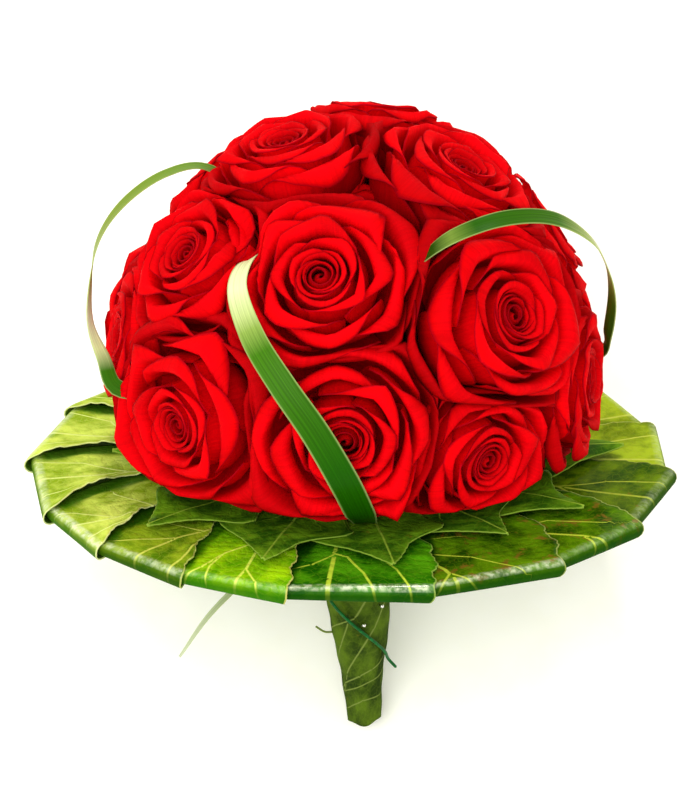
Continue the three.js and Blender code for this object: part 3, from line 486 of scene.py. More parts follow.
bloomSettings = {
    # azimuth and elevation of each bloom's axis, its size, and mm that its base stands further out
    "places": [(-80, 75, 1, 2.5), (80, 62, 1.05, 0), (165, 67, 1, 4), (-9, 42, 1.06, 0), (45, 27, 1.2, 0),
               (103, 33, 1, 0), (143, 36, 1, 0), (182, 35, 1, 0), (219, 37, 1, 0), (254, 43, 0.95, -7),
               (-60, 40, 1, 0), (-45, 1, 1, 0), (-1, 4, 1.1, 0), (35, -6, 0.97, 0), (76, 2, 1.05, 0),
               (112, 3, 1, 0), (147, 4, 1, 0), (181, 2, 1, 0), (214, 4, 1, 0), (246, 5, 1, 0),
               (-81, 11, 0.92, 0)],
    # in mm: the dome's middle, its reach and how much higher it is at the top, where a bloom is widest above
    # its base, the height over the disc that all keep, the gap between blooms, and how far apart two can be
    # and still press on each other
    "centre": (0, 0, 42), "reach": 65, "crown": 1.5, "widest": 21, "floor": 12, "gap": 1.0, "touch": 110,
    # how many petals the bud has, how many are open and how many are guard petals, how far open the bud ends
    # and the guard petals start, how much more they open outwards, and degrees from one petal to the next
    "bud": 10, "open": 14, "guard": 7, "budOpen": 0.28, "guardOpen": 1.06, "guardMore": 0.2, "turn": 137.5,
    "free": 0.72,  # share of its room that a petal fills before it is pressed in
    "tuck": 4, "columns": 16, "rows": 12, "rowsUp": 1.25, "thickness": 0.62, "seed": 31,
    "flare": {11: (12, 1.16)},  # mm past its room and times as wide, for the open petals of this bloom
    # mm that the guard petals stand higher and reach past their room, where the gap to the next bloom is wide
    "wide": {0: (1, 4), 1: (4, 7), 3: (1, 4)},
    # a small rose set deeper, where three blooms at the top leave a gap, and mm that it reaches under them
    "filler": (13, 67, 0.66, -6), "fillerTuck": 6,
    # how far open a petal is, and its course from base to rim as radius and height
    "courses": [
        (0.0, [(1.5, 2), (4.0, 10), (4.2, 18), (3.0, 23.5), (1.2, 27.0), (0.35, 28.0)]),
        (0.3, [(2.5, 1), (8.4, 9), (10.0, 18.5), (8.8, 26.5), (9.4, 30.4), (11.4, 31.2)]),
        (0.6, [(3.5, 0), (13.5, 6), (18.0, 17.5), (17.4, 26.8), (19.6, 31.4), (24.4, 30.2)]),
        (1.0, [(4.0, -1), (17.0, 2), (25.5, 13), (28.0, 23), (32.0, 27), (39.5, 21)]),
        (1.3, [(4.0, -2), (19.0, -3), (31.0, 4), (40.0, 12), (47.0, 15.5), (57.0, 10)]),
    ],
    "courseStops": [0, 0.26, 0.5, 0.72, 0.87, 1.0],
    "stemRadius": 2.3, "stemFrom": 26, "stemSides": 12,  # it starts 26 mm from the dome's middle
    # the hip, as radius and height on the bloom's axis
    "hip": [(3.4, -3.6), (5.2, -1.6), (5.6, 0.6), (4.2, 3.5), (1.0, 4.5)],
}


def smoothCourse(stops, values, at):
    # A cubic through the values, with the slopes of a Catmull-Rom curve
    stops, values = np.asarray(stops, float), np.asarray(values, float)
    slopes = np.gradient(values, stops)
    k = np.clip(np.searchsorted(stops, at) - 1, 0, len(stops) - 2)
    span = stops[k + 1] - stops[k]
    s = np.clip((at - stops[k]) / span, 0, 1)
    h00, h10 = 2 * s**3 - 3 * s**2 + 1, s**3 - 2 * s**2 + s
    h01, h11 = -2 * s**3 + 3 * s**2, s**3 - s**2
    return h00 * values[k] + h10 * span * slopes[k] + h01 * values[k + 1] + h11 * span * slopes[k + 1]


def petalPoints(opened, turn, chance, u, v):
    courses = bloomSettings["courses"]
    low = max(i for i in range(len(courses) - 1) if courses[i][0] <= opened)
    share = (opened - courses[low][0]) / (courses[low + 1][0] - courses[low][0])
    course = (1 - share) * np.array(courses[low][1]) + share * np.array(courses[low + 1][1])
    side = np.abs(u)
    spread = min(opened, 1)
    # its outline: a shallow point in the middle of the rim, rounded shoulders and a narrow base
    point = chance.uniform(0.6, 1.1) * (0.04 + 0.06 * opened)
    end = v * (1 - point * side - (0.16 + 0.12 * opened) * side**3)
    radius = smoothCourse(bloomSettings["courseStops"], course[:, 0], end)
    height = smoothCourse(bloomSettings["courseStops"], course[:, 1], end)
    width = (12.5 + 14.5 * opened) * (0.34 + 0.66 * np.sin(np.clip(end / 0.66, 0, 1) * math.pi / 2))
    half = np.minimum(width / np.maximum(radius, 2.2), 2.6 - 1.2 * opened)
    rim = np.clip((end - 0.5) / 0.5, 0, 1)
    radius = radius + (0.8 + 0.9 * opened) * u * np.minimum(1, end * 2)  # one side in, the other out
    # the rim runs straight between corners, and rolls back along each straight run
    run = chance.uniform(0.42, 0.62)
    corner = chance.uniform(-0.3, 0.3)
    phase = (u * half - corner) % (2 * run) - run
    straight = (0.3 + 0.7 * smoothStep(0.1, 0.6, spread)) * rim
    radius = radius * (1 + straight * (math.cos(run) / np.cos(phase) - 1))
    roll = (0.2 + 2.6 * spread) * (1 - (phase / run) ** 2) * rim**3 * chance.uniform(0.6, 1.3)
    curl = (0.4 + 3.6 * spread**1.4) * np.clip((side - 0.3) / 0.7, 0, 1) ** 1.5 * rim**2
    radius = radius + 0.3 * roll + 0.25 * curl
    height = height - roll - curl
    # soft waves along the rim, and no two petals equally high
    waves = [chance.uniform(-1, 1) for _ in range(4)]
    size = (0.2 + 1.0 * opened) * rim**2
    height = height + size * waves[0] * np.sin(3 * u + 3 * waves[1])
    radius = radius + size * 0.8 * waves[2] * np.sin(3.2 * u + 3 * waves[3])
    height = height + chance.uniform(-1, 1) * (0.5 + 1.2 * opened) * rim
    radius = np.maximum(radius, 0.2)
    # each petal stands a little off the axis
    off = chance.uniform(0.2, 1.0) * smoothStep(0.02, 0.3, spread) * (1 - 0.5 * spread)
    off = off * np.minimum(end * 2, 1)
    way = turn + chance.uniform(-1, 1)
    angle = turn + u * half
    x, y = radius * np.cos(angle) + off * math.cos(way), radius * np.sin(angle) + off * math.sin(way)
    return np.stack([x, y, height], axis=-1)


def bloomPlaces():
    settings = bloomSettings
    centre = Vector(settings["centre"])
    made = []
    for azimuth, elevation, size, out in settings["places"] + [settings["filler"]]:
        axis = direction(azimuth, elevation)
        reach = settings["reach"] + settings["crown"] * math.sin(math.radians(elevation)) + out
        made.append({"axis": axis, "size": size, "reach": reach, "base": centre + axis * reach,
                     "middle": centre + axis * (reach + settings["widest"])})
    return made


def roomOf(bloom, others):
    # The planes halfway to each neighbour, and the lowest level, as normal and distance
    planes = [((0, 0, -1), -bloomSettings["floor"])]
    for other in others:
        if other is bloom or (other["middle"] - bloom["middle"]).length > bloomSettings["touch"]:
            continue
        share = bloom["size"] / (bloom["size"] + other["size"])
        normal = (other["middle"] - bloom["middle"]).normalized()
        between = bloom["middle"].lerp(other["middle"], share) - normal * (bloomSettings["gap"] / 2)
        planes.append((tuple(normal), between.dot(normal)))
    return planes


def onAxis(points, bloom):
    base, axis = np.array(bloom["base"]), np.array(bloom["axis"])
    return base + ((points - base) @ axis)[:, None] * axis


def pressIn(points, bloom, planes, tuck=0):
    # A tucked petal reaches a little past the middle, under the neighbour's rim
    nearest = onAxis(points, bloom)
    outward = points - nearest
    distance = np.linalg.norm(outward, axis=1)
    outward = outward / np.maximum(distance, 1e-9)[:, None]
    limit = np.full(len(points), 1e9)
    for index, (normal, level) in enumerate(planes):
        towards = outward @ np.array(normal)
        past = tuck if index else 0
        reach = (level + past - nearest @ np.array(normal)) / np.where(towards > 1e-3, towards, 1)
        limit = np.where(towards > 1e-3, np.minimum(limit, reach), limit)
    free = bloomSettings["free"] * limit
    room = np.maximum(limit - free, 1e-6)
    pressed = np.minimum(limit - room * np.exp(-np.clip(distance - free, 0, None) / room), limit - 0.02)
    return nearest + outward * np.where(distance > free, pressed, distance)[:, None]


def lathePoints(rings, sides):
    # Rings of (radius, height) joined into a closed skin
    angles = np.arange(sides) * 2 * math.pi / sides
    points = [(r * math.cos(a), r * math.sin(a), z) for r, z in rings for a in angles]
    return points, skinFaces(len(rings), sides)


def petalStages(guards):
    # How far open each petal of a bloom is, from the bud outwards
    settings = bloomSettings
    bud, full, guard, budOpen = settings["bud"], settings["open"], settings["guard"], settings["budOpen"]
    stages = [budOpen * (k / bud) ** 0.9 for k in range(bud)]
    stages += [budOpen + (1 - budOpen) * k / (full - 1) for k in range(full)]
    if guards:
        stages += [settings["guardOpen"] + settings["guardMore"] * k / guard for k in range(guard)]
    return stages


def makeBlooms(petalSkin, stemSkin):
    settings = bloomSettings
    u, v, grid = strapGrid(settings["columns"], settings["rows"])
    v = 1 - (1 - v) ** settings["rowsUp"]  # rows lie closer towards the rim
    places = bloomPlaces()
    for number, bloom in enumerate(places):
        filler = number == len(places) - 1
        chance = random.Random(settings["seed"] + number)
        planes = roomOf(bloom, places[:-1])
        turn = Vector((0, 0, 1)).rotation_difference(bloom["axis"]).to_matrix()
        spin = chance.uniform(0, 2 * math.pi)
        points, faces, marks = [], [], []
        lift, reachUnder = settings["wide"].get(number, (0, settings["tuck"]))
        for k, opened in enumerate(petalStages(not filler)):
            around = spin + k * math.radians(settings["turn"]) + chance.uniform(-0.2, 0.2)
            placed = petalPoints(opened, around, chance, u, v)
            faces += (grid + len(points) * len(u)).tolist()
            if opened > 1:
                placed[:, 2] += lift * smoothStep(0.3, 0.8, v)
            placed = stoodOn(placed * bloom["size"], turn, bloom["base"])
            tuck = settings["fillerTuck"] if filler else reachUnder * smoothStep(1.0, 1.06, opened)
            if number in settings["flare"]:  # this bloom's open petals spread over its neighbour
                reachOver, wider = settings["flare"][number]
                share = smoothStep(0.5, 0.9, opened)
                tuck = reachOver * share
                away = placed - onAxis(placed, bloom)
                placed = placed + away * (wider - 1) * share
            points.append(underStraps(pressIn(placed, bloom, planes, tuck)))
            marks.append(np.stack([u, v, np.full(len(u), k / 7.0)], axis=-1))
        name = "bloom_between" if filler else f"bloom_{number + 1:02d}"
        piece = newPiece(name, np.concatenate(points), faces, petalSkin, {"petal": np.concatenate(marks)})
        thicken(piece, settings["thickness"])
        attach(piece, "root")
        if filler:
            continue
        # the hip, the sepals and the stem down into the foam
        foot = settings["stemFrom"] - bloom["reach"]
        rings = [(settings["stemRadius"], foot), (settings["stemRadius"], -6), *settings["hip"]]
        stem, stemFaces = lathePoints(rings, settings["stemSides"])
        green = newPiece(name + "_stem", stoodOn(stem, turn, bloom["base"]), stemFaces, stemSkin)
        sepals = makeSepals(name + "_sepals", bloom, turn, spin, planes, stemSkin)
        joinTo(piece, [green, sepals])
        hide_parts(f"rose_{number + 1:02d}")


sepalSettings = {
    "count": 5, "steps": 6, "start": 4.5, "length": 17, "half": 3.2, "hollow": 0.5, "thickness": 0.5,
}


def makeSepals(name, bloom, turn, spin, planes, stemSkin):
    settings = sepalSettings
    points, faces = [], []
    for k in range(settings["count"]):
        start = len(points)
        angle = spin + k * 2 * math.pi / settings["count"]
        c, s = math.cos(angle), math.sin(angle)
        for i in range(settings["steps"] + 1):
            t = i / settings["steps"]
            along = settings["start"] + settings["length"] * t
            half = settings["half"] * (1 - t) ** 0.8 * (0.55 + 1.6 * t * (1 - t)) + 0.15
            height = -1.5 - 3.5 * t + 2 * t * t
            for j in (-1, 0, 1):
                x, y = along - 0.6 * abs(j), j * half
                points.append((x * c - y * s, x * s + y * c, height + settings["hollow"] * abs(j)))
        for i in range(settings["steps"]):
            for j in range(2):
                a = start + i * 3 + j
                faces.append((a, a + 3, a + 4, a + 1))
    shape = pressIn(stoodOn(points, turn, bloom["base"]), bloom, planes)
    piece = newPiece(name, shape, faces, stemSkin)
    thicken(piece, settings["thickness"])
    return piece


leafApart = 200  # mm between the patterns of one leaf and the next, so that no two leaves are alike


def leafDetail(piece, plan):
    # Each face learns its place beside the nearest rib: along it, across it and the rib's half width, in mm
    mesh = piece.data
    count = len(mesh.vertices)
    flat = np.zeros(count * 3, dtype=np.float32)
    mesh.attributes["blade"].data.foreach_get("vector", flat)
    flat = flat.reshape(-1, 3)[:, :2].astype(float)
    corners = np.zeros(len(mesh.loops), dtype=np.int64)
    mesh.loops.foreach_get("vertex_index", corners)
    starts = np.zeros(len(mesh.polygons), dtype=np.int64)
    totals = np.zeros(len(mesh.polygons), dtype=np.int64)
    mesh.polygons.foreach_get("loop_start", starts)
    mesh.polygons.foreach_get("loop_total", totals)
    faceOf = np.repeat(np.arange(len(starts)), totals)
    centres = np.add.reduceat(flat[corners], starts, axis=0) / totals[:, None]
    best = np.full(len(starts), 1e9)
    chosen = np.zeros(len(starts), dtype=np.int64)
    for index, (start, end, widths, offset) in enumerate(plan):
        a, b = np.array(start, float), np.array(end, float)
        length = np.linalg.norm(b - a)
        t = np.clip(((centres - a) @ (b - a)) / length**2, 0, 1)
        gap = np.linalg.norm(centres - (a + t[:, None] * (b - a)), axis=1)
        chosen = np.where(gap < best, index, chosen)
        best = np.minimum(gap, best)
    result = np.zeros((len(corners), 3), dtype=np.float32)
    for index, (start, end, widths, offset) in enumerate(plan):
        mine = chosen[faceOf] == index
        a, b = np.array(start, float), np.array(end, float)
        length = np.linalg.norm(b - a)
        ahead = (b - a) / length
        rel = flat[corners[mine]] - a
        along = rel @ ahead
        across = rel @ np.array([-ahead[1], ahead[0]])
        past = np.maximum(np.maximum(along - length, -along), 0)
        share = np.clip(along / length, 0, 1)
        result[mine, 0] = along + offset
        result[mine, 1] = np.sign(across) * np.hypot(across, past)
        result[mine, 2] = widths[0] + (widths[1] - widths[0]) * share
    layer = mesh.attributes.new("vein", "FLOAT_VECTOR", "CORNER")
    layer.data.foreach_set("vector", result.ravel())


def ribPlan(ribs):
    # Each rib is a course of points with its half width at both ends
    plan = []
    for points, widths in ribs:
        lengths = [math.dist(points[i], points[i + 1]) for i in range(len(points) - 1)]
        total, done = sum(lengths), 0.0
        for i, length in enumerate(lengths):
            ends = [widths[0] + (widths[1] - widths[0]) * at / total for at in (done, done + length)]
            plan.append((points[i], points[i + 1], ends, done))
            done += length
    return plan


collarSettings = {
    "corners": [-69, -51, -32, -13, 12, 37, 59, 83, 105, 126, 146, 166, 194, 217, 242, 267],
    # how far the seam at the start of each leaf slants, in degrees, 50 mm in from the fold
    "slants": [-14, -12, -9, -2, 7, 12, 9, 5, 2, 0, 0, 0, 0, -3, -7, -10],
    "cornerRadius": 126, "foldRadius": 2.2, "leafThickness": 0.8, "overlap": 2.5, "step": 1.5,
    "discMiddle": -1.5, "columns": 26, "rows": 68, "thickness": 0.45, "inner": 70, "under": 36, "seed": 700,
    "markRadius": 100,  # mm from the axis, where the width of a leaf's pattern is true
    # mm that the end of a fold gives up for each degree past its corner; the leaves on the table keep in line
    "straight": [0, 0, 0, 0, 0, 0, 0, 0, 0.2, 0.5, 0.9, 0.9, 0.9, 0.5, 0.2, 0],
    # how far the right edge stands up from the next leaf, the gloss of the bend with its painted highlight,
    # and each leaf's blade
    "lifts": [1.4, 0.5, 0.3, 0.3, 0.3, 0.5, 0.9, 0.8, 0.7, 0.9, 0.6, 0.2, 0.7, 1.8, 2.6, 3.0],
    "gloss": [0.9, 0.6, 0.25, 1.0, 0.75, 0.2, 0.2, 0.2, 0.2, 0.2, 0.2, 0.2, 0.2, 0.3, 0.4, 0.5],
    "blades": ["pale", "olive", "lime", "dark", "spotted", "spotted", "shade", "soft",
               "soft", "mid", "dark", "mid", "dark", "pale", "pale", "pale"],
    # ribs of each front leaf: points as share of the half width and mm in from the fold, then half widths
    "ribs": {
        0: [([(0.75, 42), (0.3, 22), (0.05, -6)], (0.55, 0.3)),
            ([(0.75, 42), (-0.3, 36), (-0.9, 30)], (0.5, 0.2)),
            ([(0.55, 33), (0.62, 16), (0.7, -4)], (0.4, 0.2)),
            ([(0.3, 22), (-0.35, 8), (-0.5, -4)], (0.3, 0.15))],
        1: [([(0.55, 50), (0.1, 26), (0.05, 10), (0.1, -8)], (0.6, 0.3)),
            ([(0.1, 26), (-0.35, 16), (-0.6, 8)], (0.4, 0.2)),
            ([(0.55, 50), (0.6, 26), (0.72, 12), (0.75, -6)], (0.45, 0.25)),
            ([(0.3, 37), (-0.5, 34)], (0.35, 0.15))],
        2: [([(0.1, 52), (-0.15, 36), (-0.42, 24), (-0.5, 10), (-0.62, -4)], (0.5, 0.25)),
            ([(0.1, 52), (0.1, 30), (0.2, 14), (0.2, -6)], (0.5, 0.3)),
            ([(0.2, 14), (0.5, 4), (0.6, -5)], (0.3, 0.15)),
            ([(-0.42, 24), (-0.4, 12), (-0.25, 0)], (0.3, 0.15)), ([(0.1, 40), (0.6, 34)], (0.3, 0.15))],
        3: [([(-0.16, 60), (-0.2, 35), (-0.22, 10), (-0.22, -12)], (0.85, 0.55)),
            ([(-0.19, 34), (0.0, 31), (0.22, 16), (0.34, -3)], (0.5, 0.25)),
            ([(-0.19, 34), (-0.5, 24), (-0.9, 17)], (0.4, 0.2)),
            ([(-0.18, 50), (-0.6, 47), (-0.95, 44)], (0.35, 0.15)),
            ([(-0.18, 48), (0.4, 36), (0.66, 20), (0.75, -4)], (0.4, 0.2))],
        4: [([(-0.78, 54), (-0.62, 34), (-0.38, 14), (-0.34, -8)], (0.75, 0.45)),
            ([(-0.36, 10), (-0.6, 0), (-0.7, -6)], (0.35, 0.2)),
            ([(-0.36, 10), (-0.15, 0), (-0.05, -5)], (0.35, 0.2)),
            ([(-0.62, 34), (0.1, 20), (0.5, 2)], (0.35, 0.15)), ([(-0.7, 44), (0.3, 40)], (0.3, 0.12))],
        5: [([(-0.75, 60), (-0.4, 34), (0.15, 10), (0.3, -2)], (0.75, 0.4)),
            ([(0.15, 10), (0.05, 0), (0.0, -6)], (0.35, 0.2)),
            ([(-0.4, 34), (0.3, 30), (0.7, 12)], (0.35, 0.15)),
            ([(-0.2, 26), (-0.6, 10)], (0.3, 0.15))],
    },
}


def edgeOf(corners, number, angle):
    # From the axis to the disc's straight edge; past its right corner a leaf's fold runs straight on
    settings = collarSettings
    reach = settings["cornerRadius"] - settings["foldRadius"] - settings["leafThickness"] / 2
    count = len(corners)
    first, last = corners[number], corners[(number + 1) % count] + (360 if number == count - 1 else 0)
    before = corners[number - 1] - (360 if number == 0 else 0)
    previous, own = (reach * math.cos(math.radians((b - a) / 2)) / np.cos(np.radians(angle - (a + b) / 2))
                     for a, b in ((before, first), (first, last)))
    past = np.clip(angle - last, 0, None) * settings["straight"][number]
    return np.where(angle < first, previous, own - past)


def makeCollarLeaf(number, materials):
    settings = collarSettings
    corners = settings["corners"]
    chance = random.Random(settings["seed"] + number)
    last = number == len(corners) - 1
    start = corners[number] - settings["overlap"]
    end = corners[(number + 1) % len(corners)] + (360 if last else 0) + settings["overlap"]
    middle = (start + end) / 2
    slantLeft = settings["slants"][number]
    slantRight = settings["slants"][(number + 1) % len(corners)]
    u, v, faces = strapGrid(settings["columns"], settings["rows"])
    # mm in from the fold's outside
    inward = settings["inner"] - (settings["inner"] + settings["under"]) * (1 - v)
    # the leaf's outline on both sides of its middle, with a toothed right edge
    stops = [-36, -24, -8, 0, 20, 44, 60, 66, 70]
    left = np.interp(inward, stops, [0.1, 0.5, 0.9, 1, 1, 1, 0.72, 0.5, 0.05])
    right = np.interp(inward, stops, [0.1, 0.45, 0.9, 1, 1.0, 0.95, 0.68, 0.42, 0.05])
    slanting = np.clip((inward - 5) / 45, 0, 1.1)
    teeth = np.sin(inward * 2.1 + 3 * np.sin(inward * 0.37 + number)) * 0.16
    teeth = teeth + np.sin(inward * 0.33 + 2 * number) * 0.5
    teeth = teeth * smoothStep(3, 10, inward)
    leftAngle = middle + (start - middle) * left + slantLeft * slanting
    rightAngle = middle + (end - middle) * right + slantRight * slanting + teeth
    share = (u + 1) / 2
    angle = leftAngle + (rightAngle - leftAngle) * share
    # over the disc, round its edge and back under it
    edge = edgeOf(corners, number, angle)
    off = settings["foldRadius"] + settings["step"] * share
    quarter = off * math.pi / 2
    turned = np.clip(math.pi / 2 - inward / off, 0, math.pi)
    onTop, under = np.clip(inward - quarter, 0, None), np.clip(-inward - quarter, 0, None)
    radius = edge + off * np.sin(turned) - onTop - under
    height = settings["discMiddle"] + off * np.cos(turned)
    # the right edge stands up and ripples, and the blade is a little hollow
    lift = settings["lifts"][number]
    rise = lift * smoothStep(0.35, 1.0, u) ** 1.5
    rise = rise * smoothStep(3, 16, inward) * (1 - smoothStep(26, 44, inward))
    ripple = np.sin(inward * 0.28 + 1.7 * number) + 0.45 * np.sin(inward * 0.83 + 2.3 * number)
    ripple = (0.4 + 0.3 * lift) * ripple * smoothStep(0.4, 1, u) * smoothStep(6, 14, inward)
    hollow = 0.35 * np.sin(3.1 * u + number) * np.sin(inward * 0.13 + 2 * number) * smoothStep(6, 16, inward)
    height = height + rise + np.clip(ripple, -0.1, 1) * (1 - smoothStep(44, 55, inward)) + hollow * 0.5
    points = polar(angle, radius, height)
    flatX = np.radians(angle - middle) * settings["markRadius"]
    halfWidth = np.radians(end - start) * settings["markRadius"] / 2
    fromEdge = (1 - np.abs(u)) * np.radians(rightAngle - leftAngle) * settings["markRadius"] / 2
    margin = np.minimum(fromEdge, settings["inner"] - inward)
    marks = np.stack([flatX + leafApart * number, inward, margin], axis=-1)
    # painted shadow on the strip that the leaf before overhangs, wider where that leaf stands up, painted
    # shade on the fold's outer band, and the gloss along the bend, which also carries a painted highlight
    covered = (angle - leftAngle) * math.pi / 180 * radius - 2 * settings["overlap"] * 2.05
    before = settings["lifts"][number - 1]
    wide = 1.2 + before * (0.9 + 0.8 * np.sin(inward * 0.28 + 1.7 * (number - 1)))
    paintedShelterShadow = (1 - smoothStep(0.0, 1.0, covered / np.maximum(wide, 0.8))) * smoothStep(2, 8, inward) * 0.9
    paintedFoldShade = 0.92 * (1 - smoothStep(0.8, 2.6, inward))
    bend = settings["gloss"][number] * smoothStep(1.4, 2.8, inward) * (1 - smoothStep(3.8, 5.6, inward))
    piece = newPiece(f"collar_blade_{number + 1:02d}", points, faces, materials[settings["blades"][number]],
                     {"blade": marks, "seam": np.stack([paintedShelterShadow, paintedFoldShade, bend], axis=-1)})
    thicken(piece, settings["thickness"])
    ribs = settings["ribs"].get(number)
    if not ribs:
        x = chance.uniform(-0.3, 0.3)
        ribs = [([(x, 62), (x * 0.8, 30), (x, -14)], (0.7, 0.4)),
                ([(x, 40), (0.45, 24), (0.6, -4)], (0.45, 0.2)),
                ([(x, 40), (-0.5, 22), (-0.62, -4)], (0.45, 0.2)),
                ([(x, 56), (0.7, 46)], (0.35, 0.15)), ([(x, 56), (-0.7, 44)], (0.35, 0.15))]
    placed = [([(leafApart * number + x * halfWidth, y) for x, y in course], widths)
              for course, widths in ribs]
    leafDetail(piece, ribPlan(placed))
    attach(piece, "root")
    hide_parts(f"collar_leaf_{number + 1:02d}")


innerSettings = {
    # azimuth of each leaf's middle and mm from the axis to its tip
    "places": [(-46, 107), (-17, 111), (8.5, 112), (36, 102), (58, 106), (93, 108), (130, 92), (164, 95),
               (198, 91), (232, 94), (270, 93)],
    # height, and mm to the left and right edge, at these distances from the axis, for a leaf that ends at
    # "drawn"
    "radii": [31.5, 45, 62, 68, 72, 75, 78, 82, 86], "drawn": 92,
    "heights": [16.5, 8.5, 4.4, 3.8, 3.7, 3.8, 4.0, 4.4, 4.8],
    "left": [4, 9, 19, 24, 24.5, 19.5, 13.5, 9.2, 5.6],
    "right": [4, 9, 18, 22, 20.5, 12.5, 8.0, 5.8, 3.8],
    "tipHeight": 5.0, "tipHalf": 0.3,
    "step": 1.8, "stepAngle": 20,  # mm that the right side lies higher, and degrees to either side
    "columns": 22, "rows": 50, "rowsOut": 1.25, "thickness": 0.45,
}


def makeInnerLeaf(number, materials):
    settings = innerSettings
    azimuth, tip = settings["places"][number]
    u, v, faces = strapGrid(settings["columns"], settings["rows"])
    first, drawn = settings["radii"][0], settings["drawn"]
    radius = first + (tip - first) * (1 - (1 - v) ** settings["rowsOut"])
    grown = (tip - first) / (drawn - first)
    along = first + (radius - first) / grown  # a longer leaf is wider too
    left, right = (np.interp(along, settings["radii"] + [drawn], settings[side] + [settings["tipHalf"]])
                   * grown**0.5 for side in ("left", "right"))
    teeth = 0.22 * np.sin(radius * 2.4 + 2 * np.sin(radius * 0.7 + number)) * smoothStep(50, 60, radius)
    across = np.where(u < 0, u * (left + teeth), u * (right + teeth))
    sideways = np.degrees(across / radius)
    height = np.interp(radius, settings["radii"] + [tip], settings["heights"] + [settings["tipHeight"]])
    height = height + settings["step"] * (sideways + settings["stepAngle"]) / (2 * settings["stepAngle"])
    height = height + 0.4 * np.sin(radius * 0.21 + number) * u * smoothStep(50, 65, radius)
    bend = 0.5 * np.cos(2.2 * u)
    points = polar(azimuth + sideways, radius, height + bend)
    margin = np.minimum((1 - np.abs(u)) * np.where(u < 0, left, right), (tip - radius) * 0.8)
    x = leafApart * number
    marks = np.stack([across + x, radius, margin], axis=-1)
    piece = newPiece(f"inner_blade_{number + 1:02d}", points, faces, materials["deep"], {"blade": marks})
    thicken(piece, settings["thickness"])
    ribs = [([(x, 30), (x - 0.5, 60), (x, tip)], (0.6, 0.15)),
            ([(x, 46), (x + 13, 60), (x + 19, 70)], (0.35, 0.12)),
            ([(x, 46), (x - 14, 60), (x - 21, 71)], (0.35, 0.12)),
            ([(x, 58), (x + 9, 72)], (0.25, 0.1)), ([(x, 58), (x - 10, 73)], (0.25, 0.1))]
    leafDetail(piece, ribPlan(ribs))
    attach(piece, "root")
    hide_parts(f"inner_leaf_{number + 1:02d}")


# what each blade has: seven colours, of which deep is painted shadow for the strip the leaf before overhangs
# and fold is painted shade for the fold's outer band, its share of brown spots, its roughness and mm between
# side veins
ivyColumns = ("dark", "light", "vein", "rib", "rim", "deep", "fold", "spots", "rough", "sideSpacing")
ivyBlades = {
    # pale, on the leftmost leaves, is partly painted light: it is paler where the light falls on that side
    "pale": ("#86a418", "#c6da56", "#c4d660", "#cfe074", "#e0e8a0", "#1f5c04", "#235806", 0.22, 0.34, 7.0),
    "soft": ("#627a08", "#9cb41e", "#a2b02c", "#b6c444", "#bcc65c", "#2a5004", "#2c4c06", 0.24, 0.34, 7.0),
    "mid": ("#467e04", "#7ca414", "#a4c034", "#c4d85c", "#d0de84", "#1c4c04", "#1c4c04", 0.24, 0.32, 6.5),
    "olive": ("#4a7208", "#8aa61c", "#aabc3c", "#c0cc50", "#c0ca6c", "#1c4804", "#1a4403", 0.32, 0.3, 6.5),
    # shade, on a right-hand leaf, is partly painted shade on that side
    "shade": ("#2c4a04", "#5e7a08", "#768a1c", "#98a830", "#a0ac48", "#173c03", "#1c4403", 0.34, 0.3, 6.5),
    "lime": ("#5c9e02", "#9ad00a", "#c2e03c", "#d6ec54", "#d8cf70", "#245c02", "#226003", 0.24, 0.26, 6.0),
    "dark": ("#1a5c02", "#4c960a", "#80b024", "#bcd83a", "#a4c054", "#0f3a02", "#0e3e02", 0.2, 0.24, 6.5),
    "spotted": ("#204402", "#548006", "#7e9e1c", "#b4ca38", "#b0c060", "#143a02", "#104002", 0.44, 0.26, 6.0),
    "deep": ("#2e560a", "#628e16", "#6c9422", "#88a832", "#8aa63c", "#0c2c02", "#163e04", 0.34, 0.32, 6.5),
    # the old leaf that is rolled round the handle
    "rolled": ("#26380c", "#4e6616", "#5a6e20", "#6e7e38", "#7e8c4a", "#223606", "#223606", 0.34, 0.42, 5.0),
}


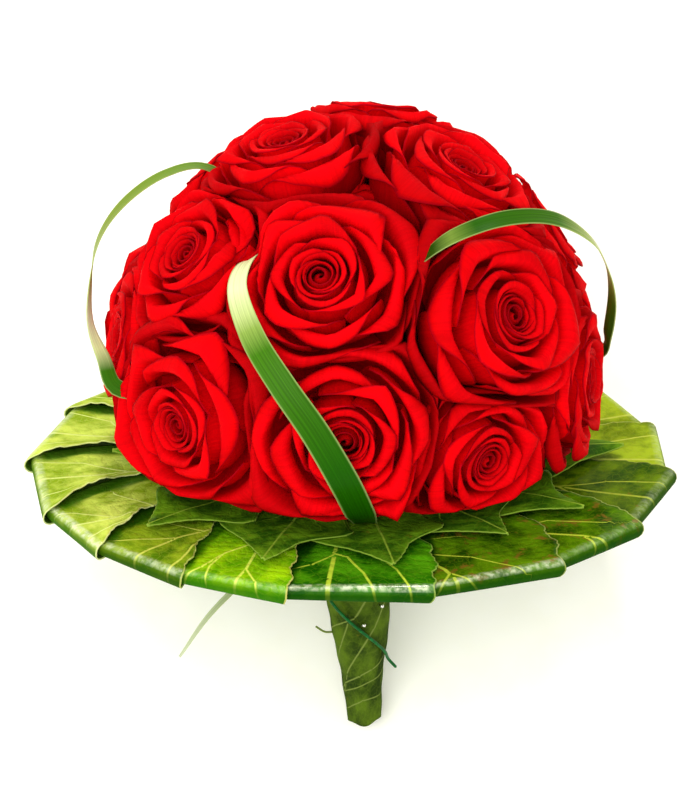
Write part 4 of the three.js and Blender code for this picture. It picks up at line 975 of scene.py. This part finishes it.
handleSettings = {
    # radius and height of the handle, from its foot up
    "radii": [4.8, 6.6, 9.4, 10.8, 10.9], "heights": [-handleAxis["foot"], -88, -72, -58, -7],
    "clearance": 0.3, "wrapThickness": 1.0, "wrapTurns": 1.12, "columns": 72, "rows": 50, "thickness": 0.7,
    # the wrap's top, the azimuth of its first edge at height 0, degrees that it winds round for each mm up,
    # mm of leaf that go round in one turn, and mm from its middle to its side edge
    "top": -5, "firstEdge": 200, "winding": 0.5, "leafRound": 62, "leafHalf": 34,
    # the leaf's cut stalk stands out on the left, as azimuth, mm out from the wrap's outside, and height
    "stalk": [(-80, -2, -71.6), (-81, 1.6, -71.4), (-84, 4.8, -69.4)], "stalkRadius": 0.42,
    # the wire's winding in so many steps, mm off the wrap, and its free end: azimuth, mm off, height
    "wire": {"radius": 0.62, "zFrom": -18, "zTo": -83, "angleFrom": -192, "angleTo": 75, "steps": 12,
             "off": 1.3, "end": (80, 4.2, -86.5)},
    "pins": [("pin_upper", 44, -56.6), ("pin_lower", 10, -63.5)],
    # a pin's shank and round head, as radius and height
    "pin": [(0.3, -6), (0.3, -0.5), (0.65, -0.5), (0.8, -0.25), (0.75, 0.1), (0.5, 0.4), (0.25, 0.5)],
    "pinStand": 0.8, "pinSides": 16,
    # the wrap's veins as azimuth and height, with the half width at both ends
    "ribs": [([(-70, -98), (-42, -88), (-2, -77), (32, -66), (60, -56), (90, -40)], (0.16, 0.24)),
             ([(-90, -99), (-60, -93), (-6, -88), (30, -85), (80, -81)], (0.2, 0.16)),
             ([(-70, -97), (-10, -93), (35, -90), (85, -87)], (0.14, 0.14)),
             ([(-60, -104), (0, -99), (50, -98)], (0.12, 0.12)),
             ([(-95, -72), (-50, -66), (-5, -61), (20, -52)], (0.16, 0.2)),
             ([(-80, -84), (-40, -74), (-20, -64)], (0.12, 0.12)),
             ([(170, -90), (210, -70), (240, -40)], (0.3, 0.2)),
             ([(160, -60), (200, -40), (230, -10)], (0.3, 0.2))],
}


def handleRadius(z):
    return np.interp(z, handleSettings["heights"], handleSettings["radii"])


def aslant(points):
    points = np.array(points, dtype=float)
    points[:, 0] += handleAxis["slant"] * np.clip(-points[:, 2], 0, None)
    return points


def wrapOuter(z):
    each = handleSettings["wrapThickness"] + handleSettings["clearance"]
    return handleRadius(z) + each * (1 + handleSettings["wrapTurns"])


def makeWrap(material):
    settings = handleSettings
    top, leafRound = settings["top"], settings["leafRound"]
    u, v, faces = strapGrid(settings["columns"], settings["rows"])
    around = (u + 1) / 2 * settings["wrapTurns"]
    low = settings["heights"][0] - 0.7 + 0.8 * np.sin(around * 9) - 0.5 * np.sin(around * 23)
    z = top + (low - top) * (1 - v)
    angle = settings["firstEdge"] + settings["winding"] * z + 360 * around
    radius = handleRadius(z) + settings["clearance"] + 0.5
    radius = radius + (settings["wrapThickness"] + settings["clearance"]) * around
    radius = radius + 0.22 * np.sin(angle * 0.09 + z * 0.11) + 0.15 * np.sin(z * 0.5 + angle * 0.02)
    loose = smoothStep(0.93, 1.0, around / settings["wrapTurns"])
    radius = radius + loose * (0.35 + 0.3 * np.sin(z * 0.35))
    points = aslant(polar(angle, radius, z))
    marks = np.stack([around * leafRound, z, (1 - np.abs(u)) * settings["leafHalf"]], axis=-1)
    piece = newPiece("wrap_leaf", points, faces, material, {"blade": marks})
    thicken(piece, settings["thickness"])
    back = 360 - settings["firstEdge"]
    placed = []
    for course, widths in settings["ribs"]:
        onLeaf = [((azimuth + back - settings["winding"] * level) / 360 * leafRound, level)
                  for azimuth, level in course]
        placed.append((onLeaf, widths))
    leafDetail(piece, ribPlan(placed))
    root = wrapOuter(-72)
    course = [polar(azimuth, root + out, height) for azimuth, out, height in settings["stalk"]]
    stalk = makeRod("wrap_stalk", aslant(course), settings["stalkRadius"], material)
    layer = stalk.data.attributes.new("blade", "FLOAT_VECTOR", "POINT")
    place = np.array([70, -60, 5], dtype=np.float32)  # the whole stalk takes one place of the leaf's pattern
    layer.data.foreach_set("vector", np.tile(place, len(stalk.data.vertices)))
    joinTo(piece, [stalk])
    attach(piece, "root")
    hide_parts("handle_wrap")


def makeRod(name, points, radius, material):
    # A round bar along a smooth curve with closed, rounded ends
    steps, sides = 8 * (len(points) - 1), 12
    places, ahead = evenCourse(points, steps)[:2]
    up = Vector((0, 0, 1)) if abs(ahead[0].z) < 0.9 else Vector((1, 0, 0))
    across = ahead[0].cross(up).normalized()
    skin = []
    rounding = [(0.4, 0.85), (0.8, 0.5)]  # how far past the end, and how wide, both as share of the radius
    rings = [(0, -push, scale) for push, scale in reversed(rounding)]
    rings += [(i, 0, 1) for i in range(steps + 1)] + [(steps, push, scale) for push, scale in rounding]
    for i, push, scale in rings:
        across = (across - ahead[i] * across.dot(ahead[i])).normalized()
        other = ahead[i].cross(across)
        centre = places[i] + ahead[i] * push * radius
        for j in range(sides):
            a = 2 * math.pi * j / sides
            skin.append(tuple(centre + (across * math.cos(a) + other * math.sin(a)) * radius * scale))
    return newPiece(name, skin, skinFaces(len(rings), sides), material)


def makeWire(material):
    plan = handleSettings["wire"]
    points = []
    for k in range(plan["steps"] + 1):
        z = plan["zFrom"] + (plan["zTo"] - plan["zFrom"]) * k / plan["steps"]
        angle = plan["angleFrom"] + (plan["angleTo"] - plan["angleFrom"]) * k / plan["steps"]
        points.append(tuple(polar(angle, wrapOuter(z) + plan["off"], z)))
    azimuth, out, height = plan["end"]
    points.append(tuple(polar(azimuth, wrapOuter(height + 0.5) + out, height)))
    piece = makeRod("wire_turn", aslant(points), plan["radius"], material)
    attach(piece, "root")
    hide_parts("binding_wire")


def makePin(name, angle, z, material):
    headAt = float(wrapOuter(z)) + handleSettings["pinStand"]
    shape, faces = lathePoints(handleSettings["pin"], handleSettings["pinSides"])
    turn = Vector((0, 0, 1)).rotation_difference(direction(angle, 0)).to_matrix()
    shape = aslant(stoodOn(shape, turn, polar(angle, headAt, z)))
    piece = newPiece(name + "_head", shape, faces, material)
    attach(piece, "root")
    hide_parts(name)


makeBlooms(rosePetalMaterial(), plainMaterial("roseStemSkin"))
print("blooms made")

blades = {name: ivyMaterial("ivyLeaf" + name.capitalize(), dict(zip(ivyColumns, row)))
          for name, row in ivyBlades.items()}
for number in range(len(collarSettings["corners"])):
    makeCollarLeaf(number, blades)
for number in range(len(innerSettings["places"])):
    makeInnerLeaf(number, blades)
print("ivy leaves made")

for plan, course in zip(grassSettings, strapCourses):
    makeStrap(plan, course)
print("grass made")

makeWrap(blades["rolled"])
makeWire(plainMaterial("lacqueredIronWire"))
pinSkin = plainMaterial("nickelledSteel")
for name, angle, z in handleSettings["pins"]:
    makePin(name, angle, z, pinSkin)
print("handle made")

keptNodes = {"foam_ball": "flowerFoam", "holder": "mouldedPolypropylene", "collar_disc": "pulpBoard"}
for name, finish in keptNodes.items():
    nodes[name].data.materials.clear()
    nodes[name].data.materials.append(plainMaterial(finish))


bpy.ops.object.select_all(action="DESELECT")
bpy.ops.mesh.primitive_grid_add(x_subdivisions=4, y_subdivisions=4, size=6)
table = bpy.context.object
table.name = "table"
table.data.materials.append(plainMaterial("whiteLaminateWithGlow"))

viewSettings = {
    "elevation": 22.1, "distance": 2.2, "scale": 2.545,  # metres, and pixels to a mm at that distance
    "middle": (0.0, 27.1),  # mm of the collar's centre left of and under the picture's middle
    "sensor": 36, "pictureWidth": 699,  # mm, and pixels
}
turnOnly = toPart.to_3x3() * 1000
look = (turnOnly @ direction(0, viewSettings["elevation"])).normalized()
upward = (turnOnly @ direction(0, viewSettings["elevation"] + 90)).normalized()
sideways = upward.cross(look).normalized()
right, up = viewSettings["middle"]
aim = toPart @ Vector((0, 0, 0)) + (sideways * right + upward * up) * mm
camera = bpy.data.cameras.new("camera")
camera.sensor_fit = "HORIZONTAL"
camera.sensor_width = viewSettings["sensor"]
pixelsToMetre = viewSettings["scale"] * viewSettings["distance"] * 1000
camera.lens = viewSettings["sensor"] * pixelsToMetre / viewSettings["pictureWidth"]
viewer = bpy.data.objects.new("camera", camera)
bpy.context.scene.collection.objects.link(viewer)
viewer.location = aim + look * viewSettings["distance"]
viewer.rotation_euler = Matrix((sideways, upward, look)).transposed().to_euler()
bpy.context.scene.camera = viewer

# place in metres, width, watts and colour; each lamp is turned to the middle of the bouquet
lampSettings = {
    "front": ((-0.35, -0.75, 1.55), 1.3, 20, "#fffefa"),
    "back": ((0.05, 1.35, 0.95), 0.24, 8, "#fffdf6"),
}
lampAim = Vector((0, 0, 0.08))


def addLamp(name, place, size, power, colour):
    lamp = bpy.data.lights.new(name, "AREA")
    lamp.shape = "DISK"
    lamp.size = size
    lamp.energy = power
    lamp.color = srgb(colour)[:3]
    holder = bpy.data.objects.new(name, lamp)
    bpy.context.scene.collection.objects.link(holder)
    holder.location = place
    holder.rotation_euler = (lampAim - Vector(place)).to_track_quat("-Z", "Y").to_euler()


for name, lamp in lampSettings.items():
    addLamp(name, *lamp)
world = bpy.data.worlds.new("softRoom")
world.use_nodes = True
background = world.node_tree.nodes["Background"]
background.inputs[0].default_value = srgb("#fffefa")
background.inputs[1].default_value = 1.0
bpy.context.scene.world = world
bpy.context.scene.view_settings.view_transform = "Standard"
